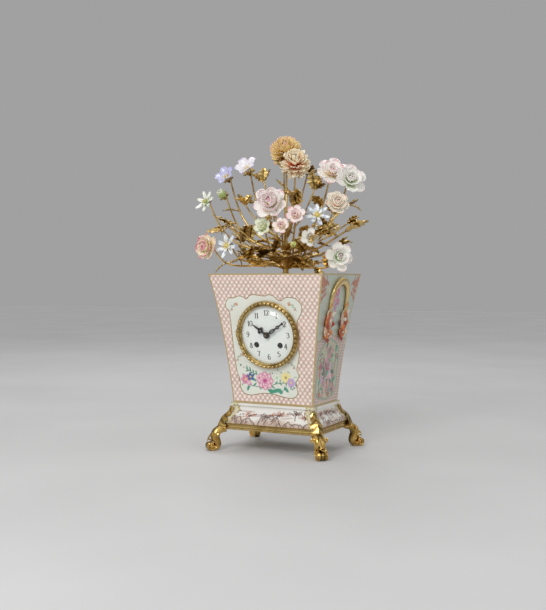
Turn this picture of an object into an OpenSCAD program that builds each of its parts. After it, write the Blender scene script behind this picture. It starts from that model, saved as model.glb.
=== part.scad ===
// Porcelain mantel clock: a flared square vase that holds a round clock movement
// and a bouquet of porcelain flowers on gilt stems, on a gilt frame with four feet.
// X runs to the right, Y to the back, Z up. The origin lies on the ground, at the
// middle of the four feet, and the dial looks towards -Y.

/* [Vase] */
// Width of the vase at its rim
vase_top_w = 178; // [174:1:182]
// Depth of the vase at its rim
vase_top_d = 136; // [134:1:140]
// Width of the vase at its foot
vase_foot_w = 126; // [124:1:128]
// Depth of the vase at its foot
vase_foot_d = 84; // [82:1:86]
// Height of the vase
vase_h = 184; // [182:1:190]
// How far the sides of the vase curve inwards
vase_sag = 3; // [2:0.5:4]
// Wall of the vase and of its plinth
wall_t = 5; // [4:0.5:6]

/* [Plinth and frame] */
// Height of the porcelain plinth
plinth_h = 30; // [28:1:32]
// Width of the plinth at its foot
plinth_w = 150; // [148:1:152]
// Depth of the plinth at its foot
plinth_d = 108; // [106:1:110]
// Height of the gilt frame under the plinth
frame_h = 8; // [7:0.5:9]
// How far the frame stands out round the plinth
frame_lip = 2; // [1.5:0.25:3]
// Height of the feet under the frame
foot_h = 30; // [28:1:32]
// How far a toe reaches out of the frame's corner
foot_reach = 19; // [17:1:21]
// Breadth of a leg
foot_w = 14; // [12:0.5:15]

/* [Dial and bezel] */
// Height of the dial's middle above the ground
dial_z = 167; // [163:1:170]
// Outer radius of the gilt bezel
bezel_r = 48; // [47:0.5:49]
// Radius of the dial that shows inside the bezel
sight_r = 40.5; // [40:0.25:41]
// Height of the bezel above the face of the vase
bezel_h = 11; // [10.5:0.5:13]
// Thickness of the enamelled dial
dial_t = 2; // [1.5:0.25:2.25]
// Length of the minute hand from its hub
minute_len = 34; // [31:0.5:34.5]
// Length of the hour hand from its hub
hour_len = 26; // [23:0.5:28]

/* [Movement] */
// Outer radius of the brass drum round the movement
drum_r = 41; // [40.75:0.25:41.25]
// Distance between the two plates
plates_gap = 22; // [22:0.5:24]
// Thickness of each plate
plate_t = 2; // [1.5:0.25:2.25]
// Sideways distance of a winding hole from the middle
winding_x = 18.5; // [18:0.25:19]
// Distance of the winding holes below the middle
winding_drop = 14.5; // [14:0.25:15]
// Tooth size of the great wheels
great_module = 0.5; // [0.49:0.01:0.51]
// Tooth size of the wheels of the trains
train_module = 0.45; // [0.44:0.01:0.46]
// Tooth size of the wheel that drives the escapement
fine_module = 0.4; // [0.39:0.01:0.41]
// Radius of a wheel's arbor
arbor_r = 0.8; // [0.7:0.05:0.9]
// Length of the pendulum from its pivot to the middle of the bob
pendulum_len = 104; // [100:1:106]
// Radius of the pendulum bob
bob_r = 12; // [11:0.5:13]
// Radius of the bell
bell_r = 29; // [27:0.5:30]

/* [Handles] */
// Distance between the middles of a handle's two legs
handle_span = 58; // [54:1:60]
// Breadth of a handle's strap
strap_w = 5; // [4:0.25:6]
// Height of a handle's strap above the side of the vase
strap_t = 4; // [3:0.25:5]

/* [Bouquet] */
// Reach of the bouquet to each side
bouquet_reach = 120; // [116:1:122]
// Height of the highest flower's middle above the rim
bouquet_h = 190; // [186:1:194]
// Radius of a stem near the trunk
stem_r = 1.6; // [1.4:0.1:1.8]
// Length of a leaf
leaf_len = 26; // [24:1:28]

/* [Hidden] */

// Overrun of every cut, running clearance of a turning part, and gap round a loose part
over = 1;
fit = 0.06;
free = 0.3;
// How deep a detail is let into the piece that it belongs to
sink = 0.2;
SMOOTH = 72;
$fn = 32;

// Heights of the stack
frame_z = foot_h;
plinth_z = frame_z + frame_h;
vase_z = plinth_z + plinth_h;
rim_z = vase_z + vase_h;

// Lean of the vase's front and sides, and the face where the dial's axis leaves it
lean = atan((vase_top_d - vase_foot_d) / 2 / vase_h);
side_lean = atan((vase_top_w - vase_foot_w) / 2 / vase_h);
function sag_at(t) = vase_sag * 4 * t * (1 - t);
function vase_half_w(t) = (vase_foot_w + (vase_top_w - vase_foot_w) * t) / 2 - sag_at(t);
function vase_half_d(t) = (vase_foot_d + (vase_top_d - vase_foot_d) * t) / 2 - sag_at(t);
face_y = -vase_half_d((dial_z - vase_z) / vase_h);
clamp_reach = 20;
back_z = dial_z - 2 * (face_y / cos(lean) + clamp_reach) * sin(lean);
back_y = vase_half_d((back_z - vase_z) / vase_h);
strap_back = (back_y - face_y) / cos(lean) - clamp_reach;

SIDE_STEPS = 12;
SIDE_SHARES = [for (i = [0:SIDE_STEPS]) i / SIDE_STEPS];

// Puts a piece on the axis of the dial: its X to the right, Y up the face, Z outwards
module on_dial() {
  translate([0, face_y, dial_z]) rotate([90 + lean, 0, 0]) children();
}

// The same for the round opening in the back: Z points out of the back wall
module on_back() {
  translate([0, back_y, back_z]) rotate([90 + lean, 0, 180]) children();
}

module up(z) { translate([0, 0, z]) children(); }
module at(p) { translate([p[0], p[1], 0]) children(); }

// A round hole through a piece that is h high
module bore(r, h) { up(-over) cylinder(r = r, h = h + 2 * over); }

module ring(r_out, r_in, h) {
  difference() {
    cylinder(r = r_out, h = h, $fn = SMOOTH);
    up(-over) cylinder(r = r_in, h = h + 2 * over, $fn = SMOOTH);
  }
}

// A four-sided block whose half widths and half depths follow two lists of [half, z]
module mitred(w_profile, d_profile, reach) {
  intersection() {
    rotate([90, 0, 0]) linear_extrude(height = 2 * reach, center = true)
      polygon(concat(w_profile, [for (i = [len(w_profile) - 1:-1:0])
        [-w_profile[i][0], w_profile[i][1]]]));
    rotate([90, 0, 90]) linear_extrude(height = 2 * reach, center = true)
      polygon(concat(d_profile, [for (i = [len(d_profile) - 1:-1:0])
        [-d_profile[i][0], d_profile[i][1]]]));
  }
}

// The vase

// Outline of the vase drawn in by inset, between two shares of its height
function vase_w_line(inset) = [for (t = SIDE_SHARES) [vase_half_w(t) - inset, vase_z + vase_h * t]];
function vase_d_line(inset) = [for (t = SIDE_SHARES) [vase_half_d(t) - inset, vase_z + vase_h * t]];

module vase_outside() {
  mitred(vase_w_line(0), vase_d_line(0), vase_top_w);
}

// Rim and shelf that the gilt cover lies on
shelf_drop = 8;
shelf_w = 3;
cover_t = 2;
shelf_z = rim_z - shelf_drop;

module vase_inside() {
  intersection() {
    mitred(vase_w_line(wall_t), vase_d_line(wall_t), vase_top_w);
    translate([-vase_top_w, -vase_top_w, vase_z + wall_t])
      cube([2 * vase_top_w, 2 * vase_top_w, vase_h - wall_t - 2 * shelf_drop]);
  }
  // Mouth of the vase under the shelf, narrower by the shelf
  intersection() {
    mitred(vase_w_line(wall_t + shelf_w), vase_d_line(wall_t + shelf_w), vase_top_w);
    translate([-vase_top_w, -vase_top_w, rim_z - 2 * shelf_drop - over])
      cube([2 * vase_top_w, 2 * vase_top_w, shelf_drop + 2 * over]);
  }
}

cover_half_w = vase_half_w(1 - shelf_drop / vase_h) - wall_t;
cover_half_d = vase_half_d(1 - shelf_drop / vase_h) - wall_t;

// Round openings: the front one for the movement, the back one for its door
front_hole_r = 45;
back_hole_r = 38;
bolt_r = 3;

module porcelain_body() {
  color("antiquewhite") difference() {
    vase_outside();
    vase_inside();
    // Straight-sided recess that the cover drops into
    translate([-cover_half_w, -cover_half_d, shelf_z])
      cube([2 * cover_half_w, 2 * cover_half_d, shelf_drop + over]);
    on_dial() up(-3 * wall_t) cylinder(r = front_hole_r, h = 6 * wall_t, $fn = SMOOTH);
    on_back() up(-3 * wall_t) cylinder(r = back_hole_r, h = 6 * wall_t, $fn = SMOOTH);
    up(vase_z - over)
      cylinder(r = bolt_r + free, h = wall_t + 2 * over);
  }
}

// Gilt cover in the mouth of the vase, with the socket for the bouquet's trunk
socket_r = 7;
socket_h = 9;
trunk_r = 4.5;

module top_plate() {
  color("goldenrod") difference() {
    union() {
      translate([free - cover_half_w, free - cover_half_d, shelf_z])
        cube([2 * (cover_half_w - free), 2 * (cover_half_d - free), cover_t]);
      up(shelf_z) cylinder(r1 = socket_r * 1.5, r2 = socket_r, h = socket_h);
    }
    up(shelf_z - over)
      cylinder(r = trunk_r + fit, h = socket_h + 2 * over);
  }
}

// The plinth: an ogee outside, hollow inside, open underneath

// Shares of the plinth's height, and how far its outline has drawn in there
OGEE_SHARES = [[0, 0.04], [0.06, 0.005], [0.12, 0], [0.18, 0.015], [0.24, 0.06], [0.3, 0.16], [0.36, 0.3],
  [0.42, 0.46], [0.48, 0.62], [0.54, 0.74], [0.6, 0.84], [0.66, 0.91], [0.72, 0.96], [0.8, 0.99], [0.84,
    1],
  [0.86, 0.8], [1, 0.8]];
plinth_in_w = (plinth_w - vase_foot_w) / 2 - free;
plinth_in_d = (plinth_d - vase_foot_d) / 2 - free;

function ogee_line(half, drawn, inset) = [for (s = OGEE_SHARES)
  [half - drawn * s[1] - inset, plinth_z + plinth_h * s[0]]];

module plinth_outside() {
  mitred(ogee_line(plinth_w / 2, plinth_in_w, 0), ogee_line(plinth_d / 2, plinth_in_d, 0), plinth_w);
}

module porcelain_base() {
  color("antiquewhite") difference() {
    plinth_outside();
    intersection() {
      mitred(ogee_line(plinth_w / 2, plinth_in_w, wall_t),
        ogee_line(plinth_d / 2, plinth_in_d, wall_t), plinth_w);
      translate([-plinth_w, -plinth_w, plinth_z - over])
        cube([2 * plinth_w, 2 * plinth_w, plinth_h - wall_t + over]);
    }
    up(plinth_z)
      cylinder(r = bolt_r + free, h = plinth_h + over);
  }
}

// The gilt frame: a moulded ring, four corner lugs for the feet and a bar for the bolt

frame_half_w = plinth_w / 2 + frame_lip;
frame_half_d = plinth_d / 2 + frame_lip;
frame_rim_w = 12;
lug_t = 3;
bar_w = 14;
MOULD_SHARES = [[0, 0.5], [0.1, 0.15], [0.3, 0], [0.5, 0.15], [0.62, 0.55], [0.75, 0.6], [0.85, 0.4], [1,
  0.5]];
stud_r = 2;
stud_in = 8;

function mould_line(half) = [for (s = MOULD_SHARES) [half - frame_lip * s[1], frame_z + frame_h * s[0]]];

module frame_outside() {
  mitred(mould_line(frame_half_w), mould_line(frame_half_d), plinth_w);
}

// The four corners of the frame: [sign of X, sign of Y]
CORNERS = [[-1, -1], [1, -1], [-1, 1], [1, 1]];
opening_half_w = frame_half_w - frame_rim_w;
opening_half_d = frame_half_d - frame_rim_w;
stud_x = opening_half_w - stud_in / 2;
stud_y = opening_half_d - stud_in / 2;

module base_frame() {
  color("gold") difference() {
    union() {
      difference() {
        frame_outside();
        translate([-opening_half_w, -opening_half_d, frame_z - over])
          cube([2 * opening_half_w, 2 * opening_half_d, frame_h + 2 * over]);
      }
      for (c = CORNERS)
        translate([c[0] * stud_x - stud_in, c[1] * stud_y - stud_in, frame_z])
          cube([2 * stud_in, 2 * stud_in, lug_t]);
      translate([-opening_half_w - over, -bar_w / 2, frame_z])
        cube([2 * (opening_half_w + over), bar_w, lug_t]);
    }
    up(frame_z - over)
      cylinder(r = bolt_r + free, h = lug_t + 2 * over);
    for (c = CORNERS)
      translate([c[0] * stud_x, c[1] * stud_y, frame_z - over])
        cylinder(r = stud_r + fit, h = lug_t + 2 * over);
  }
}

// Fasteners of the case: a stud out of the top of each foot with a hexagon nut over its
// lug, and the long bolt that holds frame, plinth and vase together
nut_h = 3;
nut_r = 4;
stud_top = 1.5;
bolt_head_r = 6;
bolt_head_h = 3;

module case_fasteners() {
  color("darkgoldenrod") {
    for (c = CORNERS)
      translate([c[0] * stud_x, c[1] * stud_y, frame_z]) {
        cylinder(r = stud_r, h = lug_t + nut_h + stud_top);
        up(lug_t) cylinder(r = nut_r, h = nut_h, $fn = 6);
      }
    up(frame_z - bolt_head_h) cylinder(r = bolt_head_r, h = bolt_head_h);
    up(frame_z - bolt_head_h)
      cylinder(r = bolt_r, h = bolt_head_h + frame_h + plinth_h + wall_t + 2 * nut_h);
    up(vase_z + wall_t) cylinder(r = 2 * bolt_r, h = nut_h, $fn = 6);
  }
}

// The feet: each is a scrolled leg that runs out over the corner, with a curled toe
// and an acanthus leaf that climbs the corner of the plinth

// Middle line of the leg: shares of [reach, height, half thickness, half breadth],
// the last two of the leg's breadth
LEG_SHARES = [[-0.6, 1.05, 0.3, 0.5], [-0.15, 0.95, 0.36, 0.56], [0.28, 0.8, 0.36, 0.54],
  [0.44, 0.6, 0.3, 0.44], [0.34, 0.4, 0.24, 0.36], [0.22, 0.24, 0.22, 0.34],
  [0.36, 0.11, 0.22, 0.38], [0.72, 0.1, 0.24, 0.44]];
LEG_SIDES = 8;
toe_r = 6.4;
leaf_t = 1.5;

// Ring of points round the leg at one row: across it and along Y
function leg_ring(i) = let (s = LEG_SHARES[i], n = len(LEG_SHARES) - 1,
  a = LEG_SHARES[max(i - 1, 0)], b = LEG_SHARES[min(i + 1, n)],
  d = [foot_reach * (b[0] - a[0]), foot_h * (b[1] - a[1])], u = [d[1], -d[0]] / norm(d))
  [for (k = [0:LEG_SIDES - 1]) let (c = cos(360 * (k + 0.5) / LEG_SIDES),
    e = sin(360 * (k + 0.5) / LEG_SIDES))
    [foot_reach * s[0] + u[0] * c * foot_w * s[2], foot_w * s[3] * e,
      foot_h * s[1] + u[1] * c * foot_w * s[2]]];

// Faces that join rings of points into a closed skin, each ring of n points
function skin_faces(rings, n) = concat([[for (k = [0:n - 1]) k]],
  [for (i = [0:rings - 2], k = [0:n - 1]) let (a = i * n + k, b = i * n + (k + 1) % n) each
    [[a, b + n, b], [a, a + n, b + n]]],
  [[for (k = [n - 1:-1:0]) (rings - 1) * n + k]]);

module scroll(x, z, r, w, y = 0) {
  translate([x, y, z]) rotate([90, 0, 0]) cylinder(r = r, h = w, center = true, $fn = 12);
}

// A four-sided knob, the end of a lobe
module knob(r) { sphere(r = r, $fn = 4); }

// A leg drawn in its own plane: X runs out of the corner, Z up, the breadth lies on Y
module leg() {
  polyhedron(points = [for (i = [0:len(LEG_SHARES) - 1]) each leg_ring(i)],
    faces = skin_faces(len(LEG_SHARES), LEG_SIDES));
  // Curled toe, rolled up on both sides, flat on the ground
  scroll(foot_reach * 0.78, toe_r * 0.9, toe_r, foot_w * 1.04);
  scroll(foot_reach * 0.82, toe_r * 1.05, toe_r * 0.62, foot_w * 1.3);
  // Scroll at the knee, and lobes of leaf down the sides of the leg
  scroll(foot_reach * 0.34, foot_h * 0.72, foot_w * 0.3, foot_w * 1.22);
  for (s = [-1, 1]) {
    hull() {
      translate([-foot_reach * 0.2, s * foot_w * 0.62, foot_h * 0.93]) knob(2 * leaf_t);
      translate([foot_reach * 0.3, s * foot_w * 0.44, foot_h * 0.62]) knob(leaf_t);
    }
    hull() {
      translate([foot_reach * 0.24, s * foot_w * 0.28, foot_h * 0.46]) knob(leaf_t);
      translate([foot_reach * 0.66, s * foot_w * 0.5, foot_h * 0.3]) knob(1.6 * leaf_t);
    }
  }
  // Leaf that stands up at the back of the toe
  hull() {
    translate([foot_reach * 0.6, 0, foot_h * 0.2]) knob(2 * leaf_t);
    translate([foot_reach * 0.86, 0, foot_h * 0.44]) knob(leaf_t);
  }
}

// Acanthus leaf on the corner: pairs of lobes that follow the frame and the plinth up.
// Rows: share of its height, how far back its rib lies and how long its lobes are, the
// last two in shares of the foot's reach
acanthus_h = 21;
ACANTHUS_SHARES = [[-0.05, 0.06, 0.36], [0.22, 0.06, 0.5], [0.46, 0.12, 0.44], [0.7, 0.28, 0.3]];

module acanthus() {
  for (s = ACANTHUS_SHARES, side = [-1, 1])
    hull() {
      translate([-foot_reach * s[1], 0, frame_z + acanthus_h * s[0]]) knob(2.2 * leaf_t);
      translate([-foot_reach * (s[1] + s[2] * cos(45)), side * foot_reach * s[2] * sin(45) * 1.1,
        frame_z + acanthus_h * (s[0] + 0.18)]) knob(1.2 * leaf_t);
    }
  hull() {
    translate([-foot_reach * 0.1, 0, frame_z + acanthus_h * 0.3]) knob(2.4 * leaf_t);
    translate([-foot_reach * 0.34, 0, frame_z + acanthus_h]) knob(1.4 * leaf_t);
  }
}

// One foot at a corner, cut flat on the ground and cut to the frame and the plinth
module foot(sx, sy) {
  spread = atan(1);
  color("gold") difference() {
    translate([sx * frame_half_w, sy * frame_half_d, 0])
      rotate([0, 0, sx > 0 ? sy * spread : 180 - sy * spread]) {
        leg();
        acanthus();
      }
    up(-foot_h) cube([4 * plinth_w, 4 * plinth_w, 2 * foot_h], center = true);
    frame_outside();
    plinth_outside();
    translate([-opening_half_w, -opening_half_d, frame_z - fit])
      cube([2 * opening_half_w, 2 * opening_half_d, foot_h]);
  }
  // Flat pad under the corner lug, which the stud stands on
  color("gold") intersection() {
    translate([sx * stud_x - stud_in, sy * stud_y - stud_in, frame_z - lug_t])
      cube([2 * stud_in, 2 * stud_in, lug_t]);
    translate([-frame_half_w + frame_lip, -frame_half_d + frame_lip, 0])
      cube([2 * (frame_half_w - frame_lip), 2 * (frame_half_d - frame_lip), frame_z]);
  }
}

module foot_front_left() { foot(-1, -1); }
module foot_front_right() { foot(1, -1); }
module foot_back_left() { foot(-1, 1); }
module foot_back_right() { foot(1, 1); }

// The handles: a half-round arch with two legs and a scroll under each leg

handle_below_rim = 6;
handle_top_z = rim_z - handle_below_rim;
handle_drop = 49;
scroll_drop = 34;
handle_lean_in = 2.4;
handle_tilt = side_lean + handle_lean_in;
handle_x = vase_half_w((handle_top_z - vase_z) / vase_h) - 2 * sink;

// Handle drawn flat: X across the side of the vase, Y up it, Z out of it
module handle_flat() {
  r_mid = handle_span / 2;
  deep = 3;
  arch_y = -r_mid - strap_w / 2;
  translate([0, arch_y, -deep]) intersection() {
    ring(r_mid + strap_w / 2, r_mid - strap_w / 2, strap_t + deep);
    translate([-handle_span, 0, 0]) cube([2 * handle_span, handle_span, strap_t + deep]);
  }
  for (s = [-1, 1]) {
    translate([s * r_mid - strap_w / 2, arch_y - (handle_drop - r_mid), -deep])
      cube([strap_w, handle_drop - r_mid, strap_t + deep]);
    // Scroll that the leg ends in: three rolls that turn inwards
    for (k = [[0, 0.05, 0.75], [-0.3, 0.35, 0.6], [-0.12, 0.72, 0.5]])
      translate([s * (r_mid + 2 * strap_w * k[0]),
        arch_y - (handle_drop - r_mid) - scroll_drop * k[1], -deep])
        cylinder(r = strap_w * k[2] * 1.3, h = strap_t * 0.8 + deep);
    translate([s * r_mid - strap_w / 4, arch_y - (handle_drop - r_mid) - scroll_drop, -deep])
      cube([strap_w / 2, scroll_drop, strap_t * 0.6 + deep]);
  }
}

module handle(sx) {
  color("darkorange") difference() {
    translate([sx * handle_x, 0, handle_top_z])
      rotate([0, 0, sx * 90]) rotate([90 + handle_tilt, 0, 0]) handle_flat();
    vase_outside();
  }
}

module handle_left() { handle(-1); }
module handle_right() { handle(1); }

// Dial and bezel, on the dial's axis. Heights are measured out of the face of the vase

ring_flange_t = 3;
ring_in_r = 42;
ring_tube_in = 5;
tube_in_r = 43.4;
dial_edge = 1;
dial_r = ring_in_r - free;
dial_back = 0.6;
dial_dome = 1.6;
plate_under_t = 0.8;
door_gap = 0.3;
sight_lip_t = 1;
glass_t = 1.2;
glass_r = sight_r + 1.5;

module bezel_ring() {
  color("gold") difference() {
    union() {
      on_dial() up(-over) difference() {
        cylinder(r = bezel_r - ring_step, h = ring_flange_t + over, $fn = SMOOTH);
        up(-over) cylinder(r = ring_in_r, h = ring_flange_t + 3 * over, $fn = SMOOTH);
      }
      on_dial() up(-ring_tube_in - wall_t)
        ring(front_hole_r - free, tube_in_r, ring_tube_in + wall_t + ring_flange_t);
      // Ear that carries the hinge of the glazed door: a low arm and its knuckle
      on_dial() translate([-bezel_r - hinge_out + hinge_r, -hinge_h / 4 + fit,
        hinge_z - hinge_arm_in])
        cube([hinge_out + bezel_r - ring_in_r - 2 * hinge_r, hinge_h / 2 - 2 * fit,
          ring_flange_t - hinge_z + hinge_arm_in]);
      on_dial() hinge_knuckle(hinge_h / 2 - 2 * fit, 0);
    }
    difference() {
      vase_outside();
      on_dial() up(-3 * wall_t) cylinder(r = front_hole_r, h = 6 * wall_t, $fn = SMOOTH);
    }
    on_dial() translate([-bezel_r - hinge_out + hinge_r, 0, hinge_z]) rotate([90, 0, 0])
      cylinder(r = pin_r + fit, h = 2 * hinge_h, center = true);
  }
}

hinge_r = 1.6;
hinge_h = 10;
hinge_out = 3.3;
hinge_z = 2.4;
hinge_arm_in = 1.3;
pin_r = 0.7;
ring_step = 2;

// Round knuckle of the glazed door's hinge: its length and the place of its middle
module hinge_knuckle(h, y) {
  translate([-bezel_r - hinge_out + hinge_r, y, hinge_z]) rotate([90, 0, 0])
    cylinder(r = hinge_r, h = h, center = true);
}

// Section of the glazed door's moulding: shares of its breadth and of its height
DOOR_SHARES = [[1, 0], [1, 0.22], [0.93, 0.34], [0.86, 0.36], [0.82, 0.5], [0.66, 0.74], [0.5, 0.92],
  [0.38, 1], [0.28, 0.97], [0.2, 0.84], [0.1, 0.62], [0, 0.5], [0, 0]];

door_z = ring_flange_t + door_gap;
door_h = bezel_h - door_z;

module bezel_door() {
  color("gold") difference() {
    union() {
      on_dial() rotate_extrude($fn = SMOOTH)
        polygon([for (s = DOOR_SHARES) [sight_r + (bezel_r - sight_r) * s[0],
          door_z + door_h * s[1]]]);
      // Hinge knuckles above and below the ear of the fixed ring
      on_dial() for (s = [-1, 1]) {
        hinge_knuckle(hinge_h / 4, s * hinge_h * 3 / 8);
        translate([-bezel_r - hinge_out + hinge_r, s * hinge_h * 3 / 8 - hinge_h / 8,
          hinge_z - hinge_arm_in])
          cube([hinge_out - hinge_r / 2, hinge_h / 4, 2 * hinge_arm_in]);
      }
    }
    // Seat of the glass, behind the moulding
    on_dial() up(door_z - over) cylinder(r = glass_r + fit, h = sight_lip_t + over, $fn = SMOOTH);
    on_dial() translate([-bezel_r - hinge_out + hinge_r, 0, hinge_z]) rotate([90, 0, 0])
      cylinder(r = pin_r + fit, h = 2 * hinge_h, center = true);
  }
}

glass_rise = 11.4;
GLASS_STEPS = 8;

// Points of a dome of the given rim radius and rise, from the rim to the top: steep at
// the rim and flat in the middle, so that the hands turn freely under it
function dome(r, rise) = [for (k = [0:GLASS_STEPS]) let (a = 90 * k / GLASS_STEPS)
  [r * sqrt(cos(a)), rise * sin(a)]];
function backwards(v) = [for (i = [len(v) - 1:-1:0]) v[i]];

// Domed glass: an outer and an inner dome with a flat rim in its seat
module bezel_glass() {
  dome_r = sight_r - free;
  color([0.85, 0.95, 0.95, 0.3]) on_dial() up(door_z) rotate_extrude($fn = SMOOTH)
    polygon(concat([[glass_r, 0], [glass_r, sight_lip_t], [dome_r, sight_lip_t]],
      [for (p = dome(dome_r, glass_rise)) if (p[1] > sight_lip_t) p],
      backwards(dome(dome_r - glass_t, glass_rise - glass_t))));
}

module bezel_hinge_pin() {
  color("goldenrod") on_dial() translate([-bezel_r - hinge_out + hinge_r, 0, hinge_z]) rotate([90, 0, 0])
    cylinder(r = pin_r, h = hinge_h, center = true);
}

// Enamelled dial, slightly domed, with three holes
winding_hole_r = 4.2;
centre_hole_r = 3.2;

module at_winding(sx) {
  translate([sx * winding_x, -winding_drop, 0]) children();
}

module dial() {
  color("white") on_dial() difference() {
    rotate_extrude($fn = SMOOTH)
      polygon(concat([[0, dial_back + plate_under_t], [dial_r, dial_back + plate_under_t]],
      [for (k = [0:6]) let (s = 1 - k / 6)
        [dial_r * s, dial_back + plate_under_t + dial_t / 2 + dial_dome * (1 - s * s)]]));
    up(-over) cylinder(r = centre_hole_r, h = 2 * bezel_h);
    for (s = [-1, 1]) at_winding(s) up(-over)
      cylinder(r = winding_hole_r, h = 2 * bezel_h);
  }
}

// Brass back of the dial, with three feet that are pinned in the front plate
foot_r = 1.2;
dial_feet_r = 33;

module dial_plate() {
  color("goldenrod") on_dial() difference() {
    union() {
      up(dial_back) cylinder(r = dial_r, h = plate_under_t, $fn = SMOOTH);
      for (a = [90, 205, 335]) rotate([0, 0, a]) translate([dial_feet_r, 0, front_plate_z + plate_t])
        cylinder(r = foot_r, h = dial_back - front_plate_z - plate_t + fit);
    }
    up(-over) cylinder(r = centre_hole_r, h = 2 * bezel_h);
    for (s = [-1, 1]) at_winding(s) up(-over)
      cylinder(r = winding_hole_r, h = 2 * bezel_h);
  }
}

// The movement, on the dial's axis. Levels between the plates are measured from the
// front side of the back plate

motion_gap = 7.5;
front_plate_z = -motion_gap - plate_t;
back_plate_z = front_plate_z - plates_gap - plate_t;
level_0 = back_plate_z + plate_t;
drum_t = 0.8;
plate_r = drum_r - drum_t - free / 3;

module at_level(z) {
  on_dial() up(level_0 + z) children();
}

// Places of the arbors in the plane of the plates
function polar(r, a) = [r * cos(a), r * sin(a)];
function dist(p, q) = norm(p - q);
// The point at given distances from p and from q, on the side that turn says
function meeting(p, dp, q, dq, turn) =
  let (d = dist(p, q), a = (dp * dp - dq * dq + d * d) / (2 * d), u = (q - p) / d)
  p + u * a + turn * [-u[1], u[0]] * sqrt(dp * dp - a * a);

GREAT_TEETH = 60;
GREAT_PINION = 10;
WHEEL_TEETH = 48;
PINION = 8;
SMALL_PINION = 6;
SMALL_WHEEL_TEETH = 36;
great_d = great_module * (GREAT_TEETH + GREAT_PINION) / 2;
second_d = great_module * (WHEEL_TEETH + PINION) / 2;
third_d = train_module * (WHEEL_TEETH + PINION) / 2;
escape_d = fine_module * (WHEEL_TEETH + SMALL_PINION) / 2;
locking_d = train_module * (WHEEL_TEETH + SMALL_PINION) / 2;

centre_p = [0, 0];
going_p = [winding_x, -winding_drop];
strike_p = [-winding_x, -winding_drop];
intermediate_p = meeting(going_p, great_d, centre_p, second_d, -1);
strike_second_p = meeting(strike_p, great_d, centre_p, second_d, 1);
third_p = polar(third_d, 76);
escape_p = [0, third_p[1] + sqrt(escape_d * escape_d - third_p[0] * third_p[0])];
pin_wheel_p = strike_second_p + polar(third_d, 112);
locking_p = pin_wheel_p + polar(locking_d, 48);
fly_d = train_module * (SMALL_WHEEL_TEETH + SMALL_PINION) / 2;
fly_p = locking_p + polar(fly_d, 108);

// Tooth outline in shares of the module and of the pitch
TIP_SHARE = 0.85;
ROOT_SHARE = 1.1;
ROOT_HALF_SHARE = 0.2;
TIP_HALF_SHARE = 0.07;
PINION_TIP_SHARE = 0.68;

// Outline of a gear whose first tooth, or first gap, points along angle
function gear_points(teeth, m, angle, tip = TIP_SHARE) =
  [for (i = [0:teeth - 1], k = [[-ROOT_SHARE, -ROOT_HALF_SHARE], [tip, -TIP_HALF_SHARE],
    [tip, TIP_HALF_SHARE], [-ROOT_SHARE, ROOT_HALF_SHARE]])
    polar(m * teeth / 2 + m * k[0], angle + 360 / teeth * (i + k[1]))];

wheel_rim = 2.2;
function heading(p, q) = atan2(q[1] - p[1], q[0] - p[0]);

spoke_w = 1.8;

// A wheel with spokes, its rim, its hub and its teeth
module wheel(teeth, m, t, angle, rim_w = wheel_rim) {
  r_root = m * (teeth / 2 - ROOT_SHARE);
  difference() {
    linear_extrude(height = t) polygon(gear_points(teeth, m, angle));
    difference() {
      bore(r_root - rim_w, t);
      up(-2 * over) cylinder(r = 2.5 * spoke_w / 2, h = t + 4 * over);
      for (a = [0, 90]) rotate([0, 0, a + 45])
        translate([-r_root, -spoke_w / 2, -2 * over]) cube([2 * r_root, spoke_w, t + 4 * over]);
    }
  }
}

module leaves_pinion(teeth, m, t, angle) {
  linear_extrude(height = t) polygon(gear_points(teeth, m, angle, PINION_TIP_SHARE));
}

// Levels of the wheels
wheel_t = 1.2;
great_level = 4;
great_t = 1.6;
barrel_level = great_level + great_t;
barrel_h = 11;
barrel_r = 12.2;
barrel_wall = 0.8;
second_level = 18.4;
centre_level = 1.2;
pinion_t = 3;
third_level = 6.4;
pivot_r = 0.5;

// An arbor from plate to plate, with thin pivots in the plates
module arbor(p, r = arbor_r) {
  at_level(fit) at(p) {
    cylinder(r = r, h = plates_gap - 2 * fit);
    up(-plate_t) cylinder(r = pivot_r, h = plates_gap + 2 * plate_t - 2 * fit);
  }
}

// Cuts that every plate shares: one pivot hole for each arbor
PIVOTS = [intermediate_p, third_p, escape_p, strike_second_p, pin_wheel_p, locking_p, fly_p];

pillar_r = 2;
pillar_nut_t = 1.2;
pillar_out = 1.5;
pillar_in = 5;
PILLARS = [for (a = [0, 40, 180, 270]) polar(drum_r - pillar_in, a)];

module plate_disc() {
  difference() {
    cylinder(r = plate_r, h = plate_t, $fn = SMOOTH);
    for (p = PIVOTS) at(p) bore(pivot_r + fit, plate_t);
    for (s = [-1, 1]) at_winding(s) bore(winding_r + fit, plate_t);
    for (p = PILLARS) at(p) bore(pillar_r / 2 + fit, plate_t);
    at(pallet_p) bore(arbor_r + fit, plate_t);
    bore(arbor_r + fit, plate_t);
    at(hammer_p) bore(arbor_r + fit, plate_t);
  }
}

module front_plate() {
  color("gold") on_dial() up(front_plate_z) {
    difference() {
      plate_disc();
      at(minute_p) bore(pivot_r + fit, plate_t);
    }
    // Posts that the clicks turn on
    for (s = [-1, 1]) at_winding(s) translate([s * click_x, -click_len, plate_t])
      cylinder(r = click_w / 2 - fit, h = ratchet_t + 4 * fit);
  }
}

module back_plate() {
  color("gold") on_dial() up(back_plate_z) plate_disc();
}

module plate_pillars() {
  color("goldenrod") for (p = PILLARS) at_level(0) at(p) {
    cylinder(r = pillar_r, h = plates_gap);
    up(-plate_t - pillar_out)
      cylinder(r = pillar_r / 2, h = plates_gap + 2 * plate_t + 2 * pillar_out);
    up(plates_gap + plate_t) cylinder(r = pillar_r, h = pillar_nut_t);
    up(-plate_t - pillar_nut_t) cylinder(r = pillar_r, h = pillar_nut_t);
  }
}

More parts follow.
